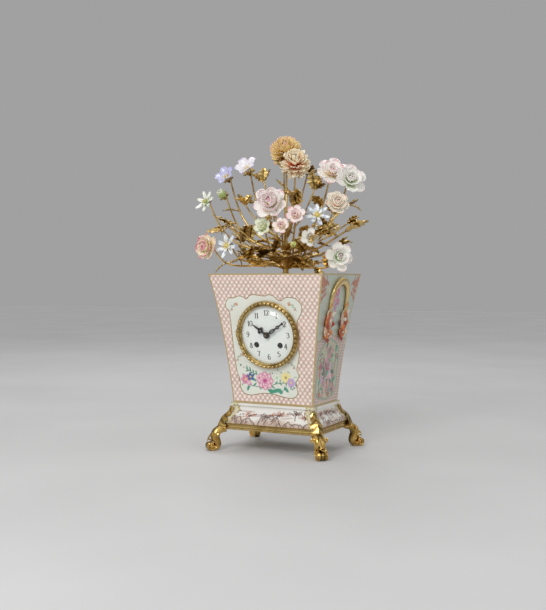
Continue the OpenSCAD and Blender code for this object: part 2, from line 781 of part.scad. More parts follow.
// Brass drum round the movement, between the dial and the back plate
module movement_drum() {
  color("goldenrod") on_dial() up(back_plate_z)
    ring(drum_r, drum_r - drum_t, dial_back - back_plate_z - free);
}

// Going and strike barrels, which turn on their winding arbors
winding_r = 2.2;
square_w = 3;
square_top = 3.6;

module barrel(p, angle) {
  at_level(great_level) at(p) difference() {
    union() {
      linear_extrude(height = great_t) polygon(gear_points(GREAT_TEETH, great_module, angle));
      up(great_t) cylinder(r = barrel_r, h = barrel_h, $fn = SMOOTH);
    }
    up(great_t) ring(barrel_r - barrel_wall, 2 * winding_r, barrel_h - barrel_wall);
    bore(winding_r + fit, barrel_h + great_t);
  }
}

module going_barrel() { color("gold") barrel(going_p, heading(going_p, intermediate_p)); }
module strike_barrel() { color("gold") barrel(strike_p, heading(strike_p, strike_second_p)); }

ratchet_t = 1.2;
ratchet_teeth = 18;
ratchet_r = 5.5;
ratchet_z = front_plate_z + plate_t + 2 * fit;

ratchet_depth = 0.8;
LEAN_SHARE = 0.12;

// Sharp teeth that lean one way
function ratchet_points(n, r, depth, turn) = [for (i = [0:n - 1], k = [0, 1])
  polar(r - depth * (1 - k), turn * 360 / n * (i + LEAN_SHARE * (k - 1)))];

module winding_arbor(sx) {
  on_dial() at_winding(sx) {
    up(back_plate_z + fit)
      cylinder(r = winding_r, h = plates_gap + 2 * plate_t + 2 * fit);
    up(ratchet_z) linear_extrude(height = ratchet_t)
      polygon(ratchet_points(ratchet_teeth, ratchet_r, ratchet_depth, sx));
    translate([-square_w / 2, -square_w / 2, front_plate_z])
      cube([square_w, square_w, square_top - front_plate_z]);
  }
}

module going_winding_arbor() { color("silver") winding_arbor(1); }
module strike_winding_arbor() { color("silver") winding_arbor(-1); }

// Clicks on the front plate, each a pawl on its screw beside the ratchet wheel
click_len = 5;
click_w = 1.6;
click_gap = 0.3;
click_x = ratchet_r + click_gap + click_w;

module click(sx) {
  color("silver") on_dial() at_winding(sx)
    translate([sx * click_x, -click_len, ratchet_z]) difference() {
      union() {
        cylinder(r = click_w, h = ratchet_t);
        translate([sx > 0 ? -click_w : 0, 0, 0]) cube([click_w, click_len, ratchet_t]);
      }
      bore(click_w / 2, ratchet_t);
    }
}

module going_click() { click(1); }
module strike_click() { click(-1); }

// Going train. Every wheel is turned so that a tooth of one faces a gap of the other

function gap_to(p, q, teeth) = heading(p, q) + 180 / teeth;

module intermediate_wheel() {
  color("gold") {
    arbor(intermediate_p);
    at_level(great_level - great_pinion_in) at(intermediate_p)
      leaves_pinion(GREAT_PINION, great_module, pinion_t, gap_to(intermediate_p, going_p,
        GREAT_PINION));
    at_level(second_level) at(intermediate_p)
      wheel(WHEEL_TEETH, great_module, wheel_t, heading(intermediate_p, centre_p));
  }
}

// How far a pinion starts before the wheel that it meets, and how much shorter the
// pinions beside another wheel are
great_pinion_in = 0.5;
pinion_in = 0.8;
pinion_short = 0.4;

// Centre arbor: its pinion, the centre wheel, and the long pivot that carries the hands
centre_arbor_r = 1.2;
hand_arbor_r = 0.8;
hand_arbor_out = 0.6;
collet_z = 9.6;

module centre_wheel() {
  color("gold") {
    at_level(fit) cylinder(r = centre_arbor_r, h = plates_gap - 2 * fit);
    at_level(-plate_t) cylinder(r = hand_arbor_r, h = collet_z + hand_arbor_out - level_0 + plate_t);
    at_level(second_level - pinion_in)
      leaves_pinion(PINION, great_module, pinion_t - pinion_short, gap_to(centre_p, intermediate_p,
        PINION));
    at_level(centre_level) wheel(WHEEL_TEETH, train_module, wheel_t, heading(centre_p, third_p));
  }
}

module third_wheel() {
  color("gold") {
    arbor(third_p);
    at_level(centre_level - pinion_in) at(third_p)
      leaves_pinion(PINION, train_module, pinion_t, gap_to(third_p, centre_p, PINION));
    at_level(third_level) at(third_p)
      wheel(WHEEL_TEETH, fine_module, wheel_t, heading(third_p, escape_p));
  }
}

ESCAPE_TEETH = 30;
escape_r = 5.6;
escape_t = 0.8;
escape_depth = 1.1;
escape_level = 12;

module escape_wheel() {
  color("gold") {
    arbor(escape_p, arbor_r);
    at_level(third_level - pinion_in) at(escape_p)
      leaves_pinion(SMALL_PINION, fine_module, pinion_t, gap_to(escape_p, third_p, SMALL_PINION));
    at_level(escape_level) at(escape_p) difference() {
      linear_extrude(height = escape_t)
        polygon(ratchet_points(ESCAPE_TEETH, escape_r, escape_depth, 1));
      for (a = [0:90:270]) rotate([0, 0, a]) translate([escape_r * 0.48, 0, -over])
        cylinder(r = escape_r * 0.22, h = 3 * over);
    }
  }
}

// Anchor over the escape wheel, its arbor, and the crutch that reaches back to the rod
pallet_rise = 8.8;
pallet_p = escape_p + [0, pallet_rise];
anchor_gap = 0.35;
crutch_drop = 22;
crutch_back = 4;

crutch_t = 1;
crutch_w = 1.3;
crutch_hub_r = 1.7;
fork_len = 12;
fork_t = 0.9;
fork_w = 1.6;
anchor_hub_r = 2;
anchor_over = 0.2;
pallet_w = 1;
arm_w = 0.4;

module pallet_anchor() {
  span = escape_r * 0.62;
  arm_drop = pallet_rise * 0.3;
  hub_in = anchor_hub_r * 0.7;
  tip_y = -pallet_rise + sqrt(pow(escape_r + anchor_gap, 2) - pow(span - pallet_w / 2, 2)) + anchor_gap;
  color("silver") {
    at_level(-plate_t - bridge_leg - bridge_t + free) at(pallet_p)
      cylinder(r = arbor_r, h = bridge_leg + bridge_t + 2 * plate_t + plates_gap - 2 * free);
    at_level(escape_level - anchor_over) at(pallet_p)
      linear_extrude(height = escape_t + 2 * anchor_over) {
        circle(r = anchor_hub_r);
        polygon([[-hub_in, 0], [-span - pallet_w, -arm_drop], [-span - pallet_w / 2, tip_y],
          [-span + pallet_w / 2, tip_y], [-span + pallet_w, -arm_drop + arm_w], [0, -hub_in],
          [span - pallet_w, -arm_drop + arm_w], [span - pallet_w / 2, tip_y],
          [span + pallet_w / 2, tip_y], [span + pallet_w, -arm_drop], [hub_in, 0]]);
      }
    // Crutch behind the back plate, with a fork round the pendulum rod
    at_level(-crutch_back - plate_t) at(pallet_p) {
      cylinder(r = crutch_hub_r, h = crutch_t * 1.4);
      translate([-crutch_w / 2, -crutch_drop, 0]) cube([crutch_w, crutch_drop, crutch_t]);
    }
    fork_at() for (s = [-1, 1])
      translate([s * (rod_r + fork_t) - fork_t / 2, 0, crutch_t - fork_len])
        cube([fork_t, fork_w, fork_len]);
    fork_at() translate([-rod_r - 1.5 * fork_t, 0, 0]) cube([2 * rod_r + 3 * fork_t, fork_w, crutch_t]);
  }
}

module fork_at() {
  at_level(-crutch_back - plate_t) translate([pallet_p[0], pallet_p[1] - crutch_drop, 0]) children();
}

// Motion work between the front plate and the dial
MOTION_DRIVER = 12;
MOTION_WHEEL = 36;
MOTION_PINION = 10;
HOUR_TEETH = 40;
motion_module = 0.5;
motion_d = motion_module * (MOTION_DRIVER + MOTION_WHEEL) / 2;
hour_module = 2 * motion_d / (MOTION_PINION + HOUR_TEETH);
minute_p = [0, -motion_d];
cannon_gap = 0.3;
cannon_pinion_t = 1.8;
hour_step = 2.4;
cannon_z = front_plate_z + plate_t + cannon_gap;
hour_z = cannon_z + hour_step;
motion_wheel_t = 1.2;
motion_pinion_t = 2.6;
motion_hub_t = 1.4;
minute_pin_len = 4.8;
cannon_r = 1.5;
pipe_r = 2.3;
hour_hand_z = 6.2;
minute_hand_z = 8;
hand_t = 0.6;

module cannon_pinion() {
  color("gold") on_dial() difference() {
    union() {
      up(cannon_z) leaves_pinion(MOTION_DRIVER, motion_module, cannon_pinion_t,
        gap_to(centre_p, minute_p, MOTION_DRIVER));
      up(cannon_z) cylinder(r = cannon_r, h = minute_hand_z - cannon_z);
    }
    up(cannon_z - over) cylinder(r = hand_arbor_r, h = 2 * minute_hand_z - cannon_z);
  }
}

module minute_wheel() {
  color("gold") on_dial() at(minute_p) up(cannon_z + sink) {
    wheel(MOTION_WHEEL, motion_module, motion_wheel_t, heading(minute_p, centre_p));
    cylinder(r = pinion_hub_r, h = motion_hub_t);
    up(motion_wheel_t) difference() {
      leaves_pinion(MOTION_PINION, hour_module, motion_pinion_t, gap_to(minute_p, centre_p,
        MOTION_PINION));
      up(-over) cylinder(r = pivot_r, h = 2 * minute_pin_len);
    }
    up(-sink - cannon_gap - plate_t) cylinder(r = pivot_r, h = minute_pin_len + plate_t);
  }
}
pinion_hub_r = 1.6;

module hour_wheel() {
  color("gold") on_dial() difference() {
    union() {
      up(hour_z) wheel(HOUR_TEETH, hour_module, motion_wheel_t, heading(centre_p, minute_p));
      up(hour_z) cylinder(r = pipe_r, h = hour_hand_z - hour_z);
    }
    up(hour_z - over) cylinder(r = cannon_r + fit, h = hour_hand_z + 2 * bezel_h);
  }
}

// Hands, which read ten past ten. Each is a hub, a neck that widens into a blade, and
// pierced or plain bosses: share of the hand's length where a boss lies, its radius and
// the radius of its hole, in shares of the length too
HOUR_ANGLE = 305;
MINUTE_ANGLE = 57;
HOUR_BOSS_SHARES = [[0.44, 0.155, 0.085], [0.72, 0.06, 0]];
MINUTE_BOSS_SHARES = [[0.33, 0.085, 0.045], [0.65, 0.05, 0], [0.9, 0.04, 0]];
hour_hub_r = 4;
minute_hub_r = 3.4;

module hand(length, hub_r, bore_r, bosses) {
  neck = hand_t * 1.2;
  first = bosses[0][0];
  difference() {
    union() {
      cylinder(r = hub_r, h = hand_t);
      for (b = bosses) translate([0, length * b[0], 0]) cylinder(r = length * b[1], h = hand_t);
      linear_extrude(height = hand_t) polygon([[-neck, 0], [-neck, length * first],
        [-1.3 * neck, length * (first + 0.16)], [0, length], [1.3 * neck, length * (first + 0.16)],
        [neck, length * first], [neck, 0]]);
    }
    bore(bore_r, hand_t);
    for (b = bosses) if (b[2] > 0)
      translate([0, length * b[0], -over]) cylinder(r = length * b[2], h = hand_t + 2 * over);
  }
}

module hour_hand() {
  color([0.2, 0.12, 0.08]) on_dial() up(hour_hand_z) rotate([0, 0, -HOUR_ANGLE])
    hand(hour_len, hour_hub_r, cannon_r + fit, HOUR_BOSS_SHARES);
}

module minute_hand() {
  color([0.2, 0.12, 0.08]) on_dial() up(minute_hand_z) rotate([0, 0, -MINUTE_ANGLE])
    hand(minute_len, minute_hub_r, hand_arbor_r, MINUTE_BOSS_SHARES);
}

collet_r = 2.2;
collet_top_r = 1.7;

module hand_collet() {
  color("gold") on_dial() up(minute_hand_z + hand_t) difference() {
    cylinder(r1 = collet_r, r2 = collet_top_r, h = collet_z - minute_hand_z - hand_t);
    up(-over) cylinder(r = hand_arbor_r, h = 4 * over);
  }
}

// Strike train
module strike_second_wheel() {
  color("gold") {
    arbor(strike_second_p);
    at_level(great_level - great_pinion_in) at(strike_second_p)
      leaves_pinion(GREAT_PINION, great_module, pinion_t, gap_to(strike_second_p, strike_p,
        GREAT_PINION));
    at_level(second_level) at(strike_second_p)
      wheel(WHEEL_TEETH, train_module, wheel_t, heading(strike_second_p, pin_wheel_p));
  }
}

pin_wheel_level = 13.4;
LIFT_PINS = 8;
lift_pin_in = 1.6;
lift_pin_len = 1.8;
lift_pin_r = 0.4;

module pin_wheel() {
  color("gold") {
    arbor(pin_wheel_p);
    at_level(second_level - pinion_in) at(pin_wheel_p)
      leaves_pinion(PINION, train_module, pinion_t - pinion_short, gap_to(pin_wheel_p,
        strike_second_p, PINION));
    at_level(pin_wheel_level) at(pin_wheel_p) {
      wheel(WHEEL_TEETH, train_module, wheel_t, heading(pin_wheel_p, locking_p));
      for (i = [0:LIFT_PINS - 1]) rotate([0, 0, (i + 0.5) * 360 / LIFT_PINS])
        translate([train_module * WHEEL_TEETH / 2 - lift_pin_in, 0, -lift_pin_len])
          cylinder(r = lift_pin_r, h = lift_pin_len + sink);
    }
  }
}

locking_level = 16.2;
locking_pinion_t = 2.4;
locking_wheel_t = 0.9;
locking_rim = 1.6;
fast_pinion_in = 0.6;

module locking_wheel() {
  color("gold") {
    arbor(locking_p);
    at_level(pin_wheel_level - fast_pinion_in) at(locking_p)
      leaves_pinion(SMALL_PINION, train_module, locking_pinion_t, gap_to(locking_p, pin_wheel_p,
        SMALL_PINION));
    at_level(locking_level) at(locking_p)
      wheel(SMALL_WHEEL_TEETH, train_module, locking_wheel_t, heading(locking_p, fly_p), locking_rim);
  }
}

fly_w = 8;
fly_h = 8;
fly_t = 0.5;
fly_level = 2;
fly_pinion_t = 2;

module strike_fly() {
  color("gold") {
    arbor(fly_p);
    at_level(locking_level - fast_pinion_in) at(fly_p)
      leaves_pinion(SMALL_PINION, train_module, fly_pinion_t, gap_to(fly_p, locking_p, SMALL_PINION));
    at_level(fly_level) translate([fly_p[0] - fly_w / 2, fly_p[1] - fly_t / 2, 0])
      cube([fly_w, fly_t, fly_h]);
  }
}

// Bell behind the movement, its stand, and the hammer beside it
bell_back = 18;
bell_z = back_plate_z - bell_back;
bell_depth = 15;
bell_lip = 1;
bell_t = 1.6;
bell_hole_r = 2;

module bell() {
  color("goldenrod") on_dial() up(bell_z - bell_depth) difference() {
    rotate_extrude($fn = SMOOTH) polygon(concat(
      [for (k = [0:6]) let (a = 90 - k * 15) [bell_r * cos(a), bell_depth * (1 - sin(a))]],
      [[bell_r, bell_depth + bell_lip]],
      [[bell_r - bell_t, bell_depth + bell_lip]],
      [for (k = [6:-1:0]) let (a = 90 - k * 15)
        [(bell_r - bell_t) * cos(a), bell_t + (bell_depth - bell_t) * (1 - sin(a))]]));
    up(-over) cylinder(r = bell_hole_r, h = 2 * bell_depth);
  }
}

post_p = [-13, -29];
post_r = 1.6;
post_foot_r = 3;
post_foot_t = 1.6;
bell_seat_r = 1.9;
bell_seat_h = 7;
bell_arm_t = 1.6;
bell_arm_z = bell_z - bell_depth - 3 * bell_arm_t;

// Stand: a foot on the back plate, a post beside the rod and an arm to the bell's middle
module bell_stand() {
  color("silver") on_dial() {
    at(post_p) up(back_plate_z - post_foot_t)
      cylinder(r = post_foot_r, h = post_foot_t);
    at(post_p) up(bell_arm_z)
      cylinder(r = post_r, h = back_plate_z - bell_arm_z);
    up(bell_arm_z) cylinder(r = bell_seat_r, h = bell_seat_h);
    up(bell_arm_z - bell_arm_t) cylinder(r = post_foot_r, h = bell_arm_t);
    hull() {
      at(post_p) up(bell_arm_z) cylinder(r = post_r, h = bell_arm_t);
      up(bell_arm_z) cylinder(r = bell_seat_r, h = bell_arm_t);
    }
  }
}

hammer_p = [-30, 2];
hammer_head_r = 2.6;
hammer_arm = 17;
hammer_arm_w = 1.6;
hammer_back = 14;
hammer_hub_t = 2;
hammer_head_in = 6;
hammer_head_h = 10;
tail_w = 1;
tail_len = 4.5;
tail_in = 3.4;
bell_gap = 0.6;
// Lean of the arm at which the head rests just off the bell's edge
hammer_rest = bell_r + hammer_head_r + bell_gap;
hammer_lean = let (d = norm(hammer_p),
  turn = acos((d * d + hammer_arm * hammer_arm - hammer_rest * hammer_rest)
  / (2 * d * hammer_arm))) atan2(-hammer_p[1], -hammer_p[0]) + turn - 90;

module bell_hammer() {
  color("silver") at_level(-plate_t - hammer_back) at(hammer_p) {
    cylinder(r = arbor_r, h = hammer_back + 2 * plate_t + plates_gap - fit);
    rotate([0, 0, hammer_lean]) {
      cylinder(r = hammer_arm_w, h = hammer_hub_t);
      translate([-hammer_arm_w / 2, 0, 0]) cube([hammer_arm_w, hammer_arm, hammer_arm_w]);
      translate([0, hammer_arm, -hammer_head_in]) cylinder(r = hammer_head_r, h = hammer_head_h);
    }
    // Tail that the lifting pins raise
    translate([-tail_w / 2, 0, hammer_back + plate_t + pin_wheel_level - tail_in])
      cube([tail_w, tail_len, tail_w]);
  }
}

// Pendulum: it hangs upright behind the leaning movement
suspension_y = 31.4;
suspension_back = 16;
rod_r = 0.7;
bob_t = 5;
pivot_point = [0, face_y - suspension_y * sin(lean) - (back_plate_z - suspension_back) * cos(lean),
  dial_z + suspension_y * cos(lean) - (back_plate_z - suspension_back) * sin(lean)];

bridge_leg = 8;
bridge_leg_r = 1.8;
bridge_t = 1.6;
bridge_x = 6.5;
bridge_w = 4.5;
cheek_x = 2.6;
cheek_t = 1;
cheek_w = 3.5;
cheek_in = 1.5;
suspension_pin_r = 0.5;

// Bridge over the crutch: two legs on the back plate, a bar, and two cheeks that hold
// the pin of the pendulum's suspension
module suspension_cock() {
  bar_z = back_plate_z - bridge_leg;
  color("gold") on_dial() {
    difference() {
      union() {
        for (s = [-1, 1]) translate([s * bridge_x, suspension_y, bar_z])
          cylinder(r = bridge_leg_r, h = bridge_leg);
        translate([-bridge_x - bridge_leg_r, suspension_y - bridge_leg_r - sink, bar_z - bridge_t])
          cube([2 * bridge_x + 2 * bridge_leg_r, bridge_w, bridge_t]);
      }
      at(pallet_p) up(bar_z - over - bridge_t)
        cylinder(r = arbor_r + fit, h = bridge_t + 2 * over);
    }
    for (s = [-1, 1])
      translate([s * cheek_x - cheek_t / 2, suspension_y - cheek_in,
        back_plate_z - suspension_back - cheek_in])
        cube([cheek_t, cheek_w, suspension_back - bridge_leg]);
  }
  color("gold") translate(pivot_point) rotate([0, 90, 0])
    cylinder(r = suspension_pin_r, h = 2 * cheek_x, center = true);
}

pendulum_eye_r = 1.2;
rating_nut_r = 1.6;
rating_nut_h = 3;
rating_out = 4;

module pendulum() {
  color("goldenrod") translate(pivot_point) {
    difference() {
      rotate([90, 0, 0]) cylinder(r = pendulum_eye_r, h = pendulum_eye_r, center = true);
      rotate([0, 90, 0]) cylinder(r = suspension_pin_r + fit, h = 4 * cheek_x, center = true);
    }
    up(-pendulum_len) cylinder(r = rod_r, h = pendulum_len - pendulum_eye_r + sink);
    up(-pendulum_len) rotate([90, 0, 0])
      intersection() {
        cylinder(r = bob_r, h = bob_t, center = true, $fn = SMOOTH);
        scale([1, 1, 0.3]) sphere(r = bob_r * 1.02, $fn = SMOOTH);
      }
    up(-pendulum_len - bob_r - rating_out) {
      cylinder(r = rating_nut_r, h = rating_nut_h);
      cylinder(r = rod_r, h = 2 * rating_out);
    }
  }
}

// The back: a ring in the back wall, a hinged door, and the straps that draw the
// front ring and the back ring together
back_flange_r = 43;
back_in_r = 34;
back_edge_t = 0.9;
door_t = 1.2;
back_hinge_r = 1.4;
back_arm_in = 1.6;
knuckle_h = 4.8;
hinge_lift = 0.5;
door_step = 2;
knob_r = 2.4;
knob_neck_r = 1.6;
knob_neck_h = 4;
knob_in = 8;
sound_hole_r = 2.2;

// How far the curved back wall rises over the flat face of the back ring at its upper or
// lower edge; the flange is as thick as that and its own edge
function wall_rise(s) = let (z = back_z + s * back_flange_r * cos(lean))
  (vase_half_d((z - vase_z) / vase_h) - back_y - (z - back_z) * tan(lean)) * cos(lean);
back_flange_t = max(wall_rise(-1), wall_rise(1)) + back_edge_t;

module back_ring() {
  color("gold") difference() {
    union() {
      on_back() up(-over) ring(back_flange_r, back_in_r, back_flange_t + over);
      on_back() up(-wall_t) ring(back_hole_r - free, back_in_r, wall_t + back_flange_t);
      on_back() back_pin_place() cylinder(r = back_hinge_r, h = knuckle_h - 2 * fit, center = true);
      on_back() translate([-back_flange_r - back_hinge_r + sink, fit - knuckle_h / 2, 0])
        cube([1.5 * back_hinge_r - sink, knuckle_h - 2 * fit,
          back_flange_t + hinge_lift + back_hinge_r]);
    }
    difference() {
      vase_outside();
      on_back() up(-3 * wall_t) cylinder(r = back_hole_r, h = 6 * wall_t, $fn = SMOOTH);
    }
    for (s = [-1, 1]) on_back() translate([s * clamp_x, 0, 0]) {
      up(-3 * wall_t) cylinder(r = clamp_r + fit, h = 6 * wall_t);
      up(back_flange_t - clamp_head_h) cylinder(r = clamp_head_r + fit, h = 3 * wall_t);
    }
    on_back() back_pin_place() cylinder(r = pin_r + fit, h = 4 * knuckle_h, center = true);
  }
}

module back_pin_place() {
  translate([-back_flange_r, 0, back_flange_t + back_hinge_r + hinge_lift]) rotate([90, 0, 0]) children();
}

module back_door() {
  color("gold") on_back() difference() {
    union() {
      up(back_flange_t + door_gap)
        cylinder(r = back_flange_r - door_step, h = door_t, $fn = SMOOTH);
      up(back_flange_t + door_gap)
        ring(back_flange_r - door_step / 2, back_flange_r - 2 * door_step, door_t * 1.6);
      for (s = [-1, 1]) {
        translate([0, s * knuckle_h, 0]) back_pin_place()
          cylinder(r = back_hinge_r, h = knuckle_h, center = true);
        translate([-back_flange_r, s * knuckle_h - knuckle_h / 2,
          back_flange_t + back_hinge_r + hinge_lift - back_arm_in])
          cube([2 * back_hinge_r, knuckle_h, back_arm_in + back_hinge_r / 2]);
      }
      // Small turned knob
      translate([back_flange_r - knob_in, 0, back_flange_t + door_gap]) {
        cylinder(r = knob_neck_r, h = knob_neck_h);
        up(knob_neck_h) sphere(r = knob_r);
      }
    }
    back_pin_place() cylinder(r = pin_r + fit, h = 4 * knuckle_h, center = true);
    // Room for the ring's own knuckle
    back_pin_place() cylinder(r = back_hinge_r + free, h = knuckle_h - fit, center = true);
    // Sound holes in a ring
    for (i = [0:11]) rotate([0, 0, i * 30 + 15]) translate([back_in_r * 0.6, 0, 0])
      cylinder(r = sound_hole_r, h = 4 * back_flange_t);
  }
}

module back_hinge_pin() {
  color("goldenrod") on_back() back_pin_place() cylinder(r = pin_r, h = 3 * knuckle_h, center = true);
}

clamp_x = 35.8;
clamp_r = 1;
clamp_head_r = 1.6;
clamp_head_h = 1.3;
strap_t2 = 1.2;
strap_breadth = 7;
strap_x = 42;
clamp_block_t = 3;
clamp_block_in = 3;

// Two straps riveted inside the tube of the bezel ring, with a threaded block at the back
module clamp_straps() {
  color("goldenrod") for (s = [-1, 1]) {
    on_dial() translate([s > 0 ? strap_x : -strap_x - strap_t2, -strap_breadth / 2, -strap_back])
      cube([strap_t2, strap_breadth, strap_back - 2 * over]);
    difference() {
      on_dial() translate([s > 0 ? clamp_x - clamp_block_in : -strap_x - strap_t2, -strap_breadth / 2,
        -strap_back - clamp_block_t / 2])
        cube([strap_x + strap_t2 - clamp_x + clamp_block_in, strap_breadth, clamp_block_t]);
      on_back() translate([-s * clamp_x, 0, -2 * strap_back])
        cylinder(r = clamp_r + fit, h = 2 * strap_back);
    }
  }
}

module clamp_screws() {
  color("silver") for (s = [-1, 1]) on_back() translate([s * clamp_x, 0, back_flange_t - clamp_head_h]) {
    up(-clamp_reach - clamp_block_t - back_flange_t)
      cylinder(r = clamp_r, h = clamp_reach + clamp_block_t + back_flange_t);
    cylinder(r = clamp_head_r, h = clamp_head_h - fit);
  }
}

// The bouquet. Each row: share of the reach to the right and to the back, share of the
// height, radius in shares of the leaf length, where the stem leaves the trunk, as a
// share of the height, and the kind of flower
FLOWER_SHARES = [
  [-0.04, 0.08, 0.97, 0.76, 0.30, "mum"],
  [0.16, -0.07, 0.83, 0.72, 0.26, "mum"],
  [0.52, 0.18, 0.76, 0.66, 0.22, "ranunculus"],
  [0.79, 0.12, 0.69, 0.60, 0.18, "ranunculus"],
  [0.66, 0.01, 0.515, 0.60, 0.14, "peony"],
  [0.47, -0.12, 0.43, 0.50, 0.10, "star"],
  [-0.01, -0.36, 0.515, 0.84, 0.16, "peony"],
  [0.28, -0.31, 0.425, 0.38, 0.12, "small"],
  [0.16, -0.43, 0.345, 0.36, 0.10, "small"],
  [-0.11, -0.37, 0.345, 0.40, 0.09, "small"],
  [0.43, -0.23, 0.26, 0.44, 0.07, "small"],
  [0.72, -0.06, 0.11, 0.64, 0.05, "ranunculus"],
  [-0.73, -0.13, 0.74, 0.46, 0.20, "bell"],
  [-0.52, 0.01, 0.80, 0.50, 0.24, "bell"],
  [-0.72, -0.25, 0.60, 0.34, 0.16, "bud"],
  [-0.97, -0.23, 0.55, 0.50, 0.14, "star"],
  [-0.89, -0.33, 0.205, 0.62, 0.06, "peony"],
  [-0.62, -0.33, 0.21, 0.50, 0.08, "star"],
  [0.30, -0.40, 0.21, 0.26, 0.06, "bud"]];

// The point behind the bouquet that every flower faces away from
heart = [0, bouquet_reach * 0.35, rim_z + bouquet_h * 0.12];

function flower_place(f) = [bouquet_reach * f[0], bouquet_reach * f[1], rim_z + bouquet_h * f[2]];
function flower_r(f) = leaf_len * f[3];
function unit(v) = v / norm(v);
function flower_dir(f) = unit(flower_place(f) - heart);
function cross_unit(a, b) = unit(cross(a, b));
CALYX_SHARE = 1.12;
CALYX_WIDE_SHARE = 0.2;

// Turns a piece so that its Z points along v
module along(v) {
  rotate([0, acos(v[2] / norm(v)), atan2(v[1], v[0])]) children();
}

// Each kind of flower is one skin of rings: [share of the radius, share of it in height,
// depth of the scallop between petals, turn in petals]. Out, in and out again makes
// the layers of petals; the first ring is the end of the calyx
CALYX_ROWS_SHARES = [[0.1, -1.12, 0, 0], [0.14, -0.5, 0, 0]];
MUM_SHARES = concat(CALYX_ROWS_SHARES, [[0.95, -0.3, 0.2, 0], [0.66, 0.02, 0.1, 0], [0.92, 0.16, 0.2, 0.5],
  [0.56, 0.32, 0.1, 0.5], [0.74, 0.55, 0.22, 1], [0.36, 0.6, 0.1, 1], [0.42, 0.84, 0.24, 1.5], [0.1,
    0.78, 0, 1.5]]);
PEONY_SHARES = concat(CALYX_ROWS_SHARES, [[0.96, -0.22, 0.14, 0], [0.72, 0.04, 0.06, 0], [0.9, 0.3, 0.14,
  0.5],
  [0.56, 0.3, 0.06, 0.5], [0.58, 0.62, 0.16, 1], [0.26, 0.4, 0, 1]]);
RANUNCULUS_SHARES = concat(CALYX_ROWS_SHARES, [[0.97, 0, 0.12, 0], [0.62, 0.12, 0.05, 0], [0.72, 0.4,
  0.12, 0.5],
  [0.3, 0.24, 0, 0.5]]);
STAR_SHARES = concat(CALYX_ROWS_SHARES, [[0.9, 0.12, 0.46, 0], [0.4, 0.1, 0.2, 0], [0.62, 0.5, 0.4, 0.5],
  [0.16, 0.3, 0, 0.5]]);
BELL_SHARES = concat(CALYX_ROWS_SHARES, [[0.6, -0.1, 0.06, 0], [0.88, 0.5, 0.22, 0], [0.56, 0.36, 0.1, 0],
  [0.5, 0.74, 0.24, 0.5], [0.14, 0.3, 0, 0.5]]);
SMALL_SHARES = concat(CALYX_ROWS_SHARES, [[0.95, 0.1, 0.26, 0], [0.4, 0.16, 0.1, 0], [0.3, 0.36, 0, 0]]);
BUD_SHARES = concat(CALYX_ROWS_SHARES, [[0.5, -0.1, 0.1, 0], [0.62, 0.4, 0.14, 0], [0.36, 0.86, 0.2, 0.5],
  [0.1, 1, 0, 0.5]]);

function rows_of(kind) = kind == "mum" ? MUM_SHARES : kind == "peony" ? PEONY_SHARES
  : kind == "ranunculus" ? RANUNCULUS_SHARES : kind == "star" ? STAR_SHARES
  : kind == "bell" ? BELL_SHARES : kind == "small" ? SMALL_SHARES : BUD_SHARES;
function petals_of(kind) = kind == "mum" ? 9 : kind == "peony" ? 7 : kind == "ranunculus" ? 6
  : kind == "star" ? 7 : 5;

// Three points a petal: the notch and the two shoulders of its rounded tip
NOTCH_TURNS = [0, 0.28, 0.72];

module blossom(r, rows, petals) {
  polyhedron(points = [for (s = rows, i = [0:petals - 1], k = [0:2])
      let (a = 360 / petals * (i + NOTCH_TURNS[k] + s[3]),
        q = r * s[0] * (1 + (k == 0 ? -s[2] : s[2] * 0.2)))
      [q * cos(a), q * sin(a), r * s[1]]],
    faces = skin_faces(len(rows), 3 * petals));
}

module flower(f) {
  translate(flower_place(f)) along(flower_dir(f))
    blossom(flower_r(f), rows_of(f[5]), petals_of(f[5]));
}

module flowers_of(kind, tint) {
  color(tint) for (f = FLOWER_SHARES) if (f[5] == kind) flower(f);
}

module flowers_chrysanthemum() { flowers_of("mum", "khaki"); }
module flowers_peony() { flowers_of("peony", "pink"); }
module flowers_ranunculus() { flowers_of("ranunculus", "mistyrose"); }
module flowers_star() { flowers_of("star", "honeydew"); }
module flowers_bell() { flowers_of("bell", "lavender"); }
module flowers_small() { flowers_of("small", "seashell"); }
module flower_buds() { flowers_of("bud", "palegreen"); }

// A tube along a list of points, thinner at its end
TUBE_SIDES = 5;
BESIDE = [0.31, 0.95, 0.05];
function tube_frame(d) = let (u = cross_unit(d, BESIDE)) [u, cross(d, u)];
function tube_ring(path, i, r) = let (n = len(path) - 1,
  f = tube_frame(unit(path[min(i + 1, n)] - path[max(i - 1, 0)])))
  [for (k = [0:TUBE_SIDES - 1]) let (a = 360 * k / TUBE_SIDES) path[i] + r * (cos(a) * f[0] + sin(a) * f[1])];

module tube(path, r0, r1) {
  n = len(path);
  polyhedron(points = [for (i = [0:n - 1]) each tube_ring(path, i, r0 + (r1 - r0) * i / (n - 1))],
    faces = skin_faces(n, TUBE_SIDES));
}

STEM_STEPS = 6;
function bezier(a, b, c, d, t) = a * pow(1 - t, 3) + b * 3 * t * pow(1 - t,
  2) + c * 3 * t * t * (1 - t) + d * pow(t, 3);

function stem_end(f) = flower_place(f) - flower_dir(f) * flower_r(f) * CALYX_SHARE;
function stem_start(f) = [0, 0, rim_z + bouquet_h * f[4]];
function stem_points(f) = let (a = stem_start(f), d = stem_end(f), out = d - a)
  [for (i = [0:STEM_STEPS]) bezier(a, a + [out[0] * 0.35, out[1] * 0.35, out[2] * 0.1],
    d - flower_dir(f) * norm(out) * 0.3, d, i / STEM_STEPS)];

// A leaf with a raised middle rib: base, two sides, tip, above and below
function leaf_high(length) = length / 18;

